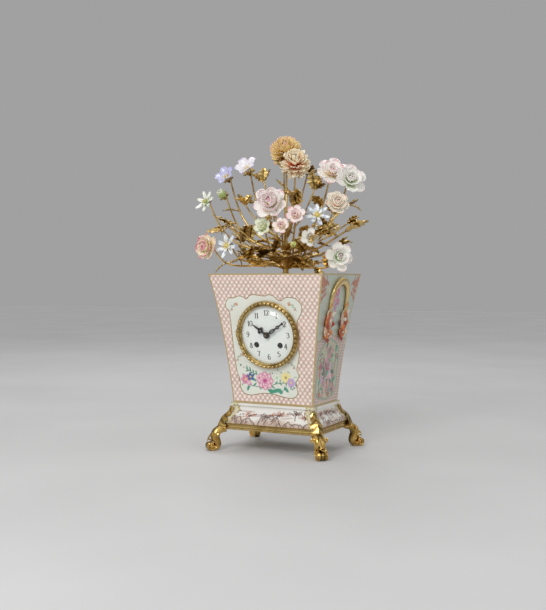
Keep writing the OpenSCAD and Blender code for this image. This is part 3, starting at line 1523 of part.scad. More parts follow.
module leaf(length, width) {
  t = leaf_high(length);
  hull() polyhedron(points = [[0, 0, 0], [length * 0.45, -width / 2, t], [length * 0.45, width / 2, t],
    [length, 0, t], [length * 0.5, 0, -t], [0, 0, t]],
    faces = [[0, 4, 1], [0, 2, 4], [1, 4, 3], [2, 3, 4], [0, 1, 5], [0, 5, 2], [1, 3, 5], [2, 5, 3]]);
}

// Leaves in pairs along each stem, at these shares of its length
LEAF_AT_SHARES = [0.42, 0.72];

module stem_leaves(f) {
  p = stem_points(f);
  for (k = [0:len(LEAF_AT_SHARES) - 1]) {
    i = round(LEAF_AT_SHARES[k] * STEM_STEPS);
    d = unit(p[i + 1] - p[i - 1]);
    for (s = [-1, 1])
      translate(p[i]) along(d) rotate([0, 0, s * 90 + 50 * k]) rotate([0, -38, 0])
        leaf(leaf_len * (0.9 - 0.25 * k), leaf_len * 0.36);
  }
}

// Leaves that spread over the rim: direction, and how far up they point
RIM_LEAVES = 12;

module rim_leaves() {
  for (i = [0:RIM_LEAVES - 1])
    up(rim_z + bouquet_h * 0.05) rotate([0, 0, i * 360 / RIM_LEAVES + 12])
      translate([trunk_r * 0.4, 0, 0]) rotate([0, -10 - 22 * (i % 2), 0])
        leaf(leaf_len * (2.1 - 0.5 * (i % 2)), leaf_len * 0.55);
}

// The two widest leaves, each on a stem of its own. Their tips reach equally far to both
// sides. Rows: side, then shares of the reach to the back, of the height, and of the
// height where the stem leaves the trunk
wide_reach = bouquet_reach * 1.06;
WIDE_SHARES = [[-1, 0.02, 0.47, 0.12], [1, 0.04, 0.385, 0.1]];

module wide_leaf(w) {
  tip = [w[0] * wide_reach, bouquet_reach * w[1], rim_z + bouquet_h * w[2]];
  start = [0, 0, rim_z + bouquet_h * w[3]];
  way = unit(tip - start);
  length = leaf_len * 1.5;
  base = tip - way * length * 0.9;
  tube([start, (start + base) / 2, base], stem_r, stem_r * 0.7);
  translate(tip) along(way) rotate([0, -90, 0]) translate([-length, 0, -leaf_high(length)])
    leaf(length, leaf_len * 0.6);
}

// Clearance round each flower, with a neck for its calyx
module flower_room(f) {
  r = flower_r(f);
  translate(flower_place(f)) {
    sphere(r = r * 1.06, $fn = 10);
    along(flower_dir(f)) up(-r * CALYX_SHARE)
      cylinder(r = r * CALYX_WIDE_SHARE, h = r, $fn = 8);
  }
}

module bouquet_branches() {
  color("darkgoldenrod") difference() {
    union() {
      up(shelf_z)
        cylinder(r1 = trunk_r, r2 = trunk_r * 0.6, h = shelf_drop + bouquet_h * 0.3, $fn = 12);
      for (f = FLOWER_SHARES) {
        tube(stem_points(f), stem_r, stem_r * 0.7);
        stem_leaves(f);
      }
      rim_leaves();
      for (w = WIDE_SHARES) wide_leaf(w);
    }
    for (f = FLOWER_SHARES) flower_room(f);
  }
}

base_frame();
foot_front_left();
foot_front_right();
foot_back_left();
foot_back_right();
case_fasteners();
porcelain_base();
porcelain_body();
handle_left();
handle_right();
top_plate();
bezel_ring();
bezel_door();
bezel_glass();
bezel_hinge_pin();
dial();
dial_plate();
hour_hand();
minute_hand();
hand_collet();
movement_drum();
front_plate();
back_plate();
plate_pillars();
going_barrel();
strike_barrel();
going_winding_arbor();
strike_winding_arbor();
going_click();
strike_click();
intermediate_wheel();
centre_wheel();
third_wheel();
escape_wheel();
pallet_anchor();
cannon_pinion();
minute_wheel();
hour_wheel();
strike_second_wheel();
pin_wheel();
locking_wheel();
strike_fly();
bell_hammer();
bell();
bell_stand();
suspension_cock();
pendulum();
back_ring();
back_door();
back_hinge_pin();
clamp_straps();
clamp_screws();
bouquet_branches();
flowers_chrysanthemum();
flowers_peony();
flowers_ranunculus();
flowers_star();
flowers_bell();
flowers_small();
flower_buds();
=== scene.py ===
"""Porcelain mantel clock: the looks of the flared vase, its painting, the gilt mounts,
the dial and the bouquet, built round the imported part. Lengths are in millimetres until
a mesh is made."""

import logging
import math
from dataclasses import dataclass, field
from enum import Enum
from typing import Callable, Optional, Sequence, Union

import bmesh
import bpy
import numpy as np
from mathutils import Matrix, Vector

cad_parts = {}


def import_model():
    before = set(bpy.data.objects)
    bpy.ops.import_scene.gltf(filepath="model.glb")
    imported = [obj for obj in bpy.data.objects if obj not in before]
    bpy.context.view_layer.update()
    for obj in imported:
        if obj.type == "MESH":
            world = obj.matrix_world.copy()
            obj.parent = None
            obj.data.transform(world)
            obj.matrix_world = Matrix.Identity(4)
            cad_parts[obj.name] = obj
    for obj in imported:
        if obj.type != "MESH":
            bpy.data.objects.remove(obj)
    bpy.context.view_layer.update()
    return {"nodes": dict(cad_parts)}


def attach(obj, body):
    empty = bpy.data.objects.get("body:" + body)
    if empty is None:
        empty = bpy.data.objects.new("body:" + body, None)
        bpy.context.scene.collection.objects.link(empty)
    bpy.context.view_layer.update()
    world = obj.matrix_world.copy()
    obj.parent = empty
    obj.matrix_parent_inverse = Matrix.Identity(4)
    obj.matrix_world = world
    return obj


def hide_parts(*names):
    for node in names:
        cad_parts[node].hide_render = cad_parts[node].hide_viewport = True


Array = np.ndarray
Pair = tuple[float, float]
Place = tuple[float, float, float]
Colour = tuple[float, float, float]
Tone = tuple[int, int, int]
Tint = Union[Array, Colour, float]
Outline = tuple[Pair, ...]
Point = Sequence[float]
Points = Sequence[Point]
Socket = bpy.types.NodeSocket
Material = bpy.types.Material
Object = bpy.types.Object
Value = Union[float, Socket]
MM = 0.001
# Rows and columns of a lobed leaf's grid
LEAF_ROWS, LEAF_COLUMNS = 19, 9
LOG = logging.getLogger("mantel_clock")


# Shapes on parameter grids


def angles(count: int) -> Array:
    """The angles of one turn, count of them, evenly apart."""
    return np.linspace(0, 2 * np.pi, count, endpoint=False)


def unit(v: Array) -> Array:
    """Each vector of v divided by its length."""
    return v / np.maximum(np.linalg.norm(v, axis=-1, keepdims=True), 1e-9)


def smooth_line(points: Points, count: int, closed: bool = False) -> Array:
    """A Catmull-Rom curve: between two points it is the cubic that also uses their two
    neighbours, so it passes through every point without a corner.

    Args:
        points: the points that the curve passes through, in two or three dimensions.
        count: how many samples the curve gets.
        closed: whether the last point joins the first.

    Returns:
        An array of count points.
    """
    p = np.asarray(points, float)
    n = len(p)
    if closed:
        p = np.vstack([p[-1:], p, p[:2]])
        t = np.linspace(0, n, count, endpoint=False)
    else:
        p = np.vstack([2 * p[:1] - p[1:2], p, 2 * p[-1:] - p[-2:-1]])
        t = np.linspace(0, n - 1, count)
    i = np.minimum(t.astype(int), len(p) - 4)
    f = (t - i)[:, None]
    a, b, c, d = p[i], p[i + 1], p[i + 2], p[i + 3]
    return 0.5 * (2 * b + (c - a) * f + (2 * a - 5 * b + 4 * c - d) * f**2 + (3 * b - a - 3 * c + d) * f**3)


def bezier(a: Array, b: Array, c: Array, d: Array, count: int) -> Array:
    """The cubic curve from a to d that leaves towards b and arrives from c, as count points."""
    t = np.linspace(0, 1, count)[:, None]
    return a * (1 - t) ** 3 + 3 * b * t * (1 - t) ** 2 + 3 * c * t**2 * (1 - t) + d * t**3


def tube(path: Array, radius: Union[float, Array], sides: int = 8, flat: float = 1.0,
        beside: Point = (0.31, 0.95, 0.05)) -> Array:
    """A closed tube: at each point of the path a ring that lies across the path's
    direction, and at each end a ring shrunk to the middle.

    Args:
        path: the middle line, n points.
        radius: the radius at each of them.
        sides: how many points a ring has.
        flat: the ring's second half width as a share of the first.
        beside: a direction that the path never follows; the ring's first axis is
            square to it and to the path.

    Returns:
        An array of (n + 2, sides, 3) points.
    """
    along = unit(np.gradient(path, axis=0))
    first = unit(np.cross(along, np.asarray(beside, float)))
    second = np.cross(along, first)
    turn = angles(sides)[None, :, None]
    ring = np.cos(turn) * first[:, None] + flat * np.sin(turn) * second[:, None]
    body = path[:, None] + np.broadcast_to(radius, len(path))[:, None, None] * ring
    ends = np.repeat(path[[0, -1]][:, None], sides, axis=1)
    return np.concatenate([ends[:1], body, ends[1:]])


def turned(points: Array, direction: Array, spin: float = 0.0) -> Array:
    """Points turned so that their Z looks along direction, after a spin about Z.

    Args:
        points: any array of points.
        direction: where their Z goes.
        spin: turn about Z before that, in radians.

    Returns:
        The turned points.
    """
    z = unit(np.asarray(direction, float))
    side = unit(np.cross(z, np.array([0.31, 0.05, 0.95])))
    other = np.cross(z, side)
    x = math.cos(spin) * side + math.sin(spin) * other
    y = np.cross(z, x)
    return points @ np.stack([x, y, z])


def placed(points: Array, start: Point, along: Point, up: Point) -> Array:
    """Points moved to start, their X along one direction and their Z as near as can be to up.

    Args:
        points: any array of points.
        start, along, up: where their origin, their X and their Z go.

    Returns:
        The moved points.
    """
    x = unit(np.asarray(along, float))
    y = unit(np.cross(np.asarray(up, float), x))
    return points @ np.stack([x, y, np.cross(x, y)]) + np.asarray(start, float)


def lathe(profile: Points, sides: int) -> Array:
    """A turned shape: each point (radius, height) of the profile goes once round the Z axis.

    Args:
        profile: (radius, height) pairs.
        sides: points to a turn.

    Returns:
        An array of (pairs, sides, 3) points.
    """
    p = np.asarray(profile, float)
    turn = angles(sides)
    high = np.repeat(p[:, 1:], sides, axis=1)
    return np.stack([p[:, :1] * np.cos(turn), p[:, :1] * np.sin(turn), high], -1)


def shares(rows: int, columns: int) -> tuple[Array, Array]:
    """A grid's two parameters: from 0 to 1 down its rows and from -1 to 1 across them."""
    return np.meshgrid(np.linspace(0, 1, rows), np.linspace(-1, 1, columns), indexing="ij")


def lobed(length: float, width: float, lobes: float, curl: float, fold: float = 0.25) -> Array:
    """A lobed leaf along X: its half width swells like a sine and waves once for each lobe, its
    middle line bends by curl in all, its sides are folded up and its veins are grooves.

    Args:
        length: length of the middle line.
        width: greatest width.
        lobes: lobes on each side.
        curl: turn of the tip against the foot, in radians, upwards where positive.
        fold: how far the sides rise, as a share of their distance from the middle.

    Returns:
        An array of (LEAF_ROWS, LEAF_COLUMNS, 3) points.
    """
    s, v = shares(LEAF_ROWS, LEAF_COLUMNS)
    side = np.abs(v)
    bend = curl * s[:, 0] ** 1.4
    step = np.diff(s[:, 0]) * length
    mid = (bend[1:] + bend[:-1]) / 2
    x = np.concatenate([[0], np.cumsum(step * np.cos(mid))])[:, None]
    z = np.concatenate([[0], np.cumsum(step * np.sin(mid))])[:, None]
    swell = np.sin(np.pi * np.clip(s, 0.02, 1) ** 0.8) ** 0.7
    half = width / 2 * swell * (1 + 0.26 * np.sin(2 * np.pi * lobes * s))
    half = half + 0.05 * width * (1 - s)
    rise = fold * side * half + 0.05 * width * np.cos(2 * np.pi * lobes * s + 2.5 * side) * side
    lean = bend[:, None]
    sweep = 0.22 * side * half
    return np.stack([x - np.sin(lean) * rise + np.cos(lean) * sweep, v * half, z + np.cos(lean) * rise], -1)


def srgb(red: float, green: float, blue: float) -> Colour:
    """The linear values of a colour written as 0 to 255."""
    return tuple(((c / 255 + 0.055) / 1.055) ** 2.4 for c in (red, green, blue))


def ramp(share: Array, stops: Sequence[tuple[float, Colour]]) -> Array:
    """Colours between stops: each channel is a straight line from stop to stop."""
    at = [s[0] for s in stops]
    return np.stack([np.interp(share, at, [s[1][k] for s in stops]) for k in range(3)], -1)


@dataclass
class Clay:
    """Collects surfaces, in millimetres, and turns them into one finished mesh."""

    points: list[Array] = field(default_factory=list)
    faces: list[Array] = field(default_factory=list)
    tints: list[Array] = field(default_factory=list)
    layers: dict[str, Array] = field(default_factory=dict)
    count: int = 0

    def sheets(self, xyz: Array, tint: Tint, wrap: bool = False, flip: bool = False) -> None:
        """Adds many grids at once.

        Args:
            xyz: points, (sheets, rows, columns, 3).
            tint: one colour or grey, or one for each point.
            wrap: whether the last column joins the first.
            flip: whether the faces look the other way.
        """
        n, rows, cols = xyz.shape[:3]
        index = np.arange(n * rows * cols).reshape(n, rows, cols) + self.count
        if wrap:
            index = np.concatenate([index, index[:, :, :1]], axis=2)
        corners = [index[:, :-1, :-1], index[:, :-1, 1:], index[:, 1:, 1:], index[:, 1:, :-1]]
        quads = np.stack(corners, -1).reshape(-1, 4)
        self.faces.append(quads[:, ::-1] if flip else quads)
        self.points.append(xyz.reshape(-1, 3))
        self.tints.append(np.broadcast_to(np.asarray(tint, float), xyz.shape).reshape(-1, 3))
        self.count += n * rows * cols

    def sheet(self, xyz: Array, tint: Tint, wrap: bool = False, flip: bool = False) -> None:
        """Adds one grid of (rows, columns, 3) points."""
        self.sheets(xyz[None], tint if np.ndim(tint) < 3 else np.asarray(tint)[None], wrap, flip)

    def round(self, xyz: Array, tint: Tint = (1, 1, 1)) -> None:
        """Adds one grid whose last column joins its first."""
        self.sheet(xyz, tint, wrap=True)

    def slabs(self, xyz: Array, thickness: float, tint: Tint) -> None:
        """Adds many grids as thin closed walls: the grid moved half the thickness to
        each side along its normals, and strips that join the two at the edges.

        Args:
            xyz: points, (sheets, rows, columns, 3).
            thickness: of the walls.
            tint: one colour or grey, or one for each point.
        """
        normal = unit(np.cross(np.gradient(xyz, axis=1), np.gradient(xyz, axis=2)))
        upper, lower = xyz + normal * thickness / 2, xyz - normal * thickness / 2
        tint = np.broadcast_to(np.asarray(tint, float), xyz.shape)
        self.sheets(upper, tint, flip=True)
        self.sheets(lower, tint)
        for axis in (1, 2):
            for at in (0, -1):
                top, base, shade = (np.take(a, [at], axis) for a in (upper, lower, tint))
                band = np.concatenate([top, base], axis)
                self.sheets(band, np.concatenate([shade, shade], axis), flip=at == -1)

    def add(self, other: "Clay", move: Callable[[Array], Array]) -> None:
        """Adds another mass, its points moved.

        Args:
            other: the mass to add.
            move: gives the moved points.
        """
        self.points += [move(points) for points in other.points]
        self.faces += [faces + self.count for faces in other.faces]
        self.tints += other.tints
        self.count += other.count

    def cut(self, hidden: Array) -> None:
        """Takes away the faces whose corners are all hidden."""
        faces = np.concatenate(self.faces)
        self.faces = [faces[~hidden.ravel()[faces].all(1)]]

    def mesh(self, name: str, weld: bool = True) -> bpy.types.Mesh:
        """The collected surfaces as a mesh in metres, without unused points. Seams and poles
        are welded and every shell's faces turned outwards, unless weld is off.

        Args:
            name: the mesh's name.
            weld: whether to weld and turn.

        Returns:
            The mesh, smooth up to its sharp edges.
        """
        points, faces, tints = (np.concatenate(a) for a in (self.points, self.faces, self.tints))
        used, faces = np.unique(faces, return_inverse=True)
        points, faces, tints = points[used], faces.reshape(-1, 4), tints[used]
        mesh = bpy.data.meshes.new(name)
        mesh.vertices.add(len(points))
        mesh.vertices.foreach_set("co", (points * MM).astype(np.float32).ravel())
        mesh.loops.add(faces.size)
        mesh.loops.foreach_set("vertex_index", faces.astype(np.int32).ravel())
        mesh.polygons.add(len(faces))
        mesh.polygons.foreach_set("loop_start", np.arange(0, faces.size, 4, dtype=np.int32))
        mesh.update(calc_edges=True)
        tint = mesh.attributes.new("tint", "FLOAT_COLOR", "POINT")
        rgba = np.hstack([tints, np.ones((len(tints), 1))])
        tint.data.foreach_set("color", rgba.astype(np.float32).ravel())
        for key, values in self.layers.items():
            layer = mesh.attributes.new(key, "FLOAT", "POINT")
            layer.data.foreach_set("value", values.ravel()[used].astype(np.float32))
        if weld:
            work = bmesh.new()
            work.from_mesh(mesh)
            bmesh.ops.remove_doubles(work, verts=work.verts, dist=2e-6)
            bmesh.ops.dissolve_degenerate(work, edges=work.edges, dist=1e-6)
            bmesh.ops.recalc_face_normals(work, faces=work.faces)
            work.to_mesh(mesh)
            work.free()
        mesh.polygons.foreach_set("use_smooth", np.ones(len(mesh.polygons), bool))
        mesh.set_sharp_from_angle(angle=math.radians(58))
        return mesh

    def piece(self, name: str, finish: "Finish", body: str, slot: str, replaces: Sequence[str] = (),
            weld: bool = True) -> Object:
        """Makes the object, gives it its finish and ties it to its body of the part.

        Args:
            name, finish: the piece's name and dress.
            body, slot: its body of the part and its material slot.
            replaces: nodes of the part that it stands for.
            weld: as for mesh.

        Returns:
            The object.
        """
        piece = bpy.data.objects.new(name, self.mesh(name, weld))
        bpy.context.scene.collection.objects.link(piece)
        piece.data.materials.append(finish.material())
        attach(piece, body)
        if replaces:
            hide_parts(*replaces)
        LOG.info("%s: %d faces on body %s", name, len(piece.data.polygons), body)
        return piece


# Finishes


class Tree:
    """One material's node tree, with short calls for the nodes it is made of."""

    def __init__(self, name: str) -> None:
        """Starts a material that holds one surface shader.

        Args:
            name: the material's name.
        """
        self.material = bpy.data.materials.new(name)
        self.material.use_nodes = True
        self.nodes = self.material.node_tree.nodes
        self.links = self.material.node_tree.links
        self.shader = self.nodes["Principled BSDF"]

    def put(self, socket: Socket, value: Union[Value, Colour]) -> None:
        """Links a socket to another, or sets its value.

        Args:
            socket: an input.
            value: another node's output, a number or a colour.
        """
        if isinstance(value, Socket):
            self.links.new(value, socket)
        elif isinstance(value, tuple) and socket.type == "RGBA":
            socket.default_value = (*value, 1.0)
        else:
            socket.default_value = value

    def node(self, kind: str, inputs: Optional[dict[str, object]] = None,
            **settings: object) -> bpy.types.Node:
        """A new node with its settings and its inputs.

        Args:
            kind: Blender's name of the node.
            inputs: a value or an output for each named input.
            settings: the node's own options.

        Returns:
            The node.
        """
        node = self.nodes.new(kind)
        for key, value in settings.items():
            setattr(node, key, value)
        for key, value in (inputs or {}).items():
            self.put(node.inputs[key], value)
        return node

    def math(self, operation: str, a: Value, b: Value = 0.0, clamp: bool = False) -> Socket:
        """The result of a Math node.

        Args:
            operation: Blender's name of the operation.
            a, b: its operands.
            clamp: whether to stay within 0 and 1.

        Returns:
            The node's output.
        """
        node = self.node("ShaderNodeMath", operation=operation, use_clamp=clamp)
        self.put(node.inputs[0], a)
        self.put(node.inputs[1], b)
        return node.outputs[0]

    def mix(self, share: Value, a: Union[Value, Colour], b: Union[Value, Colour]) -> Socket:
        """A colour between a and b.

        Args:
            share: 0 for a, 1 for b.
            a, b: the colours.

        Returns:
            The node's output.
        """
        node = self.node("ShaderNodeMix", data_type="RGBA")
        self.put(node.inputs[0], share)
        self.put(node.inputs[6], a)
        self.put(node.inputs[7], b)
        return node.outputs[2]

    def step(self, value: Value, low: float, high: float) -> Socket:
        """0 below low, 1 above high and smooth between; the other way round where low is greater.

        Args:
            value: what is compared.
            low, high: where the result is 0 and where it is 1.

        Returns:
            The node's output.
        """
        node = self.node("ShaderNodeMapRange", interpolation_type="SMOOTHSTEP")
        self.put(node.inputs["Value"], value)
        ends = (low, high, 0.0, 1.0) if low <= high else (high, low, 1.0, 0.0)
        for key, end in zip(("From Min", "From Max", "To Min", "To Max"), ends):
            self.put(node.inputs[key], end)
        return node.outputs[0]

    def place(self) -> Socket:
        """The point on the piece, in metres."""
        return self.node("ShaderNodeTexCoord").outputs["Object"]

    def noise(self, scale: float, detail: float = 3.0, stretch: Point = (1, 1, 1)) -> Socket:
        """Cloudy noise, scale waves to the metre, finer along the axes that stretch enlarges.

        Args:
            scale: waves to the metre.
            detail: octaves.
            stretch: factor for each axis.

        Returns:
            The node's output.
        """
        mapping = self.node("ShaderNodeMapping", {"Vector": self.place(), "Scale": tuple(stretch)})
        node = self.node("ShaderNodeTexNoise", {"Vector": mapping.outputs[0], "Scale": scale,
            "Detail": detail})
        return node.outputs["Fac"]

    def attribute(self, name: str) -> bpy.types.Node:
        """The node that reads one of the mesh's attributes."""
        return self.node("ShaderNodeAttribute", attribute_name=name)

    def bump(self, height: Value, distance: float, strength: float = 1.0) -> None:
        """Lets a height shape the surface's normal."""
        node = self.node("ShaderNodeBump", {"Height": height, "Distance": distance, "Strength": strength})
        self.links.new(node.outputs[0], self.shader.inputs["Normal"])

    def set(self, **values: Union[Value, Colour]) -> None:
        """Sets the shader's inputs; an underscore in a name stands for a space."""
        for key, value in values.items():
            self.put(self.shader.inputs[key.replace("_", " ")], value)


# Materials that the finishes have made, by the finish's name
MADE: dict[str, Material] = {}


class Finish:
    """A finish makes its material once and gives it out again afterwards."""

    def build(self) -> Material:
        """Builds the node tree."""
        raise NotImplementedError

    def material(self) -> Material:
        """The finish's material, made at its first use.

        Returns:
            The material.
        """
        if self.name not in MADE:
            MADE[self.name] = self.build()
        return MADE[self.name]


@dataclass(frozen=True)
class Metal(Finish):
    """Polished or gilded metal: cloudy colour, fine tool marks, and painted shade where the mesh's tint is
    dark.
    """

    name: str
    colour: Colour
    deep: Colour
    roughness: float = 0.22
    grain: float = 900.0
    cast: float = 0.12
    # Whether the mesh's tint paints shade: the colour falls almost to black where the tint is dark
    tinted: bool = False

    def build(self) -> Material:
        """Colour runs from deep to colour with a cloud; roughness and height follow finer clouds.

        Returns:
            The material.
        """
        t = Tree(self.name)
        cloud = t.noise(70.0, 4.0)
        colour = t.mix(t.step(cloud, 0.3, 0.62), self.deep, self.colour)
        # Painted shade in recesses, grooves and folds, read from the mesh's tint
        if self.tinted:
            shade = t.attribute("tint").outputs["Fac"]
            colour = t.mix(t.step(shade, 0.75, 0.1), colour, tuple(c * 0.22 for c in self.deep))
        fine = t.noise(self.grain, 2.0)
        rough = t.math("ADD", t.math("MULTIPLY", fine, 0.18), self.roughness - 0.08)
        t.bump(t.math("ADD", fine, t.math("MULTIPLY", cloud, 3.0)), 0.0002, self.cast)
        t.set(Base_Color=colour, Roughness=rough, Metallic=1.0)
        return t.material


@dataclass(frozen=True)
class Glaze(Finish):
    """Glazed porcelain in the mesh's own colours or in one of its own, slightly uneven, with a
    wet gloss."""

    name: str
    uneven: float = 0.1
    roughness: float = 0.16
    colour: Optional[Colour] = None

    def build(self) -> Material:
        """The tint, darkened a little by a cloud, under a clear coat.

        Returns:
            The material.
        """
        t = Tree(self.name)
        tint = self.colour or t.attribute("tint").outputs["Color"]
        cloud = t.noise(160.0, 4.0)
        shade = t.math("MULTIPLY", t.step(cloud, 0.45, 0.75), self.uneven)
        warm = t.mix(shade, tint, (0.62, 0.5, 0.4))
        t.bump(t.noise(420.0, 3.0), 0.0003, 0.25)
        t.set(Base_Color=warm, Roughness=self.roughness, Coat_Weight=0.35, Coat_Roughness=0.06)
        return t.material


@dataclass(frozen=True)
class BodyGlaze(Finish):
    """The vase's and the plinth's own porcelain: white, with a gilt line on the rim."""

    name: str
    gilt_above: float
    white: Colour = (0.8, 0.79, 0.75)
    gold: Colour = (0.72, 0.52, 0.22)

    def build(self) -> Material:
        """White up to a height, gold above it, told apart by the point's Z.

        Returns:
            The material.
        """
        t = Tree(self.name)
        z = t.node("ShaderNodeSeparateXYZ", {"Vector": t.place()}).outputs["Z"]
        gilt = t.step(z, self.gilt_above * MM, (self.gilt_above + 0.2) * MM)
        white = t.mix(t.step(t.noise(60.0), 0.4, 0.8), self.white, tuple(c * 0.94 for c in self.white))
        t.bump(t.noise(300.0), 0.0002, 0.15)
        t.set(Base_Color=t.mix(gilt, white, self.gold), Metallic=gilt, Roughness=0.2, Coat_Weight=0.3)
        return t.material


class Ground(Enum):
    """What fills a painted wall outside its reserve."""

    DOTS = "dots"
    PLAIN = "plain"


@dataclass(frozen=True)
class PaintedWall(Finish):
    """Enamel painting on a wall: a ground of dots in a net, a reserve with an outline, the
    paint laid on by the mesh, and gilt lines along the wall's edges."""

    name: str
    ground: Ground
    reserve: Colour
    outline: Colour
    pitch: Pair = (7.4, 9.6)
    dot_r: float = 1.7
    gilt_w: float = 1.7
    net: Colour = (0.64, 0.43, 0.38)
    lines: Colour = (0.36, 0.24, 0.17)
    dot: Colour = (0.9, 0.85, 0.75)
    gold: Colour = (0.66, 0.5, 0.24)

    def lattice(self, t: Tree, u: Value, v: Value, shift: float) -> Socket:
        """Distance to the nearest point of a square lattice, shifted by half a step or not.

        Args:
            t: the material's tree.
            u, v: place on the wall, in millimetres.
            shift: 0, or 0.5 for the second lattice.

        Returns:
            The distance in millimetres.
        """
        parts = []
        for value, pitch in ((u, self.pitch[0]), (v, self.pitch[1])):
            turn = t.math("FRACT", t.math("ADD", t.math("DIVIDE", value, pitch), 100.0 + shift))
            parts.append(t.math("MULTIPLY", t.math("ABSOLUTE", t.math("SUBTRACT", turn, 0.5)), pitch))
        squares = [t.math("POWER", p, 2.0) for p in parts]
        return t.math("SQRT", t.math("ADD", *squares))

    def dots(self, t: Tree) -> Socket:
        """Cream dots on two lattices half a step apart, each in a pale ring, a rosy net between
        them, and small brown crosses where the net's meshes meet.

        Args:
            t: the material's tree.

        Returns:
            The ground's colour.
        """
        r = self.dot_r
        u = t.attribute("across").outputs["Fac"]
        high = t.node("ShaderNodeSeparateXYZ", {"Vector": t.place()}).outputs["Z"]
        v = t.math("DIVIDE", high, MM)
        wobble = t.math("MULTIPLY", t.math("SUBTRACT", t.noise(260.0), 0.5), 0.9)
        near = t.math("MINIMUM", self.lattice(t, u, v, 0.0), self.lattice(t, u, v, 0.5))
        near = t.math("ADD", near, wobble)
        net = t.mix(t.step(t.noise(45.0), 0.35, 0.7), self.net, tuple(min(1, c * 1.22) for c in self.net))
        ring = t.math("MULTIPLY", t.step(near, r + 0.35, r + 0.6), t.step(near, r + 1.3, r + 0.95))
        colour = t.mix(t.math("MULTIPLY", ring, 0.35), net, self.dot)
        colour = t.mix(t.math("MULTIPLY", t.step(near, r + 1.35, r + 1.9), 0.75), colour, self.lines)
        return t.mix(t.step(near, r + 0.15, r - 0.15), colour, self.dot)

    def build(self) -> Material:
        """Ground, reserve, outline, paint and gilt edge, laid over one another by distance.

        Returns:
            The material.
        """
        t = Tree(self.name)
        colour = t.mix(t.step(t.noise(30.0), 0.35, 0.75), self.reserve,
            tuple(c * 0.94 for c in self.reserve))
        away = t.attribute("reserve").outputs["Fac"]
        away = t.math("ADD", away, t.math("MULTIPLY", t.math("SUBTRACT", t.noise(90.0), 0.5), 0.8))
        if self.ground is Ground.DOTS:
            colour = t.mix(t.step(away, -0.1, 0.1), colour, self.dots(t))
            band = t.math("MULTIPLY", t.step(away, -1.0, -0.7), t.step(away, 0.45, 0.15))
            colour = t.mix(band, colour, self.outline)
        paint = t.attribute("tint").outputs["Color"]
        colour = t.mix(t.attribute("cover").outputs["Fac"], colour, paint)
        gilt = t.step(t.attribute("edge").outputs["Fac"], self.gilt_w + 0.1, self.gilt_w - 0.1)
        colour = t.mix(gilt, colour, self.gold)
        t.bump(t.noise(350.0), 0.0002, 0.12)
        t.set(Base_Color=colour, Metallic=t.math("MULTIPLY", gilt, 0.75), Roughness=0.2, Coat_Weight=0.45,
            Coat_Roughness=0.05)
        return t.material


@dataclass(frozen=True)
class ClearGlass(Finish):
    """Domed glass that lets light through to the dial."""

    name: str = "dial_glass"

    def build(self) -> Material:
        """Clear, with a gloss that grows towards the rim as the glass is seen more aslant.

        Returns:
            The material.
        """
        t = Tree(self.name)
        clear = t.node("ShaderNodeBsdfTransparent", {"Color": (0.985, 0.995, 0.99)})
        aslant = t.node("ShaderNodeLayerWeight", {"Blend": 0.3}).outputs["Facing"]
        cloud = t.math("ADD", t.math("MULTIPLY", t.noise(40.0), 0.02), 0.02)
        joined = t.node("ShaderNodeMixShader")
        gloss = t.node("ShaderNodeBsdfGlossy", {"Color": (1.0, 1.0, 1.0), "Roughness": 0.02})
        t.links.new(t.math("ADD", t.math("MULTIPLY", t.math("POWER", aslant, 4.0), 0.3), cloud),
            joined.inputs[0])
        t.links.new(clear.outputs[0], joined.inputs[1])
        t.links.new(gloss.outputs[0], joined.inputs[2])
        t.links.new(joined.outputs[0], t.nodes["Material Output"].inputs["Surface"])
        return t.material


GILT = Metal("chased_gilt", (0.78, 0.53, 0.17), (0.4, 0.24, 0.06), 0.2, tinted=True)
BEZEL_GILT = Metal("bezel_gilt", (0.66, 0.48, 0.2), (0.34, 0.22, 0.07), 0.26, tinted=True)
HANDLE_GILT = Metal("handle_gilt", (0.94, 0.72, 0.34), (0.74, 0.5, 0.19), 0.26, tinted=True)
GILT_PLAIN = Metal("gilt_plain", (0.66, 0.47, 0.18), (0.44, 0.29, 0.09), 0.24)
LEAF_GILT = Metal("leaf_gilt", (0.8, 0.57, 0.21), (0.4, 0.25, 0.08), 0.34, 500.0, 0.3, tinted=True)
BRASS = Metal("clock_brass", (0.8, 0.6, 0.27), (0.66, 0.46, 0.19), 0.3, 1500.0)
BELL_METAL = Metal("bell_metal", (0.66, 0.47, 0.24), (0.42, 0.28, 0.13), 0.28, 1200.0)
STEEL = Metal("polished_steel", (0.56, 0.56, 0.58), (0.36, 0.37, 0.4), 0.26, 1400.0)
HAND_BRONZE = Metal("hand_bronze", (0.05, 0.032, 0.02), (0.025, 0.017, 0.012), 0.36, 1200.0)
# Near black, so that the winding holes read dark: partly the arbors' own dark steel, partly painted shade of
# the holes
DARK_STEEL = Metal("dark_steel", (0.06, 0.062, 0.07), (0.03, 0.032, 0.038), 0.36, 1400.0)
PETAL_GLAZE = Glaze("petal_glaze", 0.06)
HANDLE_GLAZE = Glaze("handle_glaze", 0.12)
ENAMEL = Glaze("dial_enamel", 0.03, 0.12, (0.92, 0.925, 0.895))
NUMERAL_INK = Glaze("numeral_ink", 0.05, 0.3, (0.045, 0.035, 0.03))
PORCELAIN = BodyGlaze("vase_porcelain", 250.3)
PLINTH_PORCELAIN = BodyGlaze("plinth_porcelain", 400.0)
GLASS = ClearGlass()


# Painting on the walls


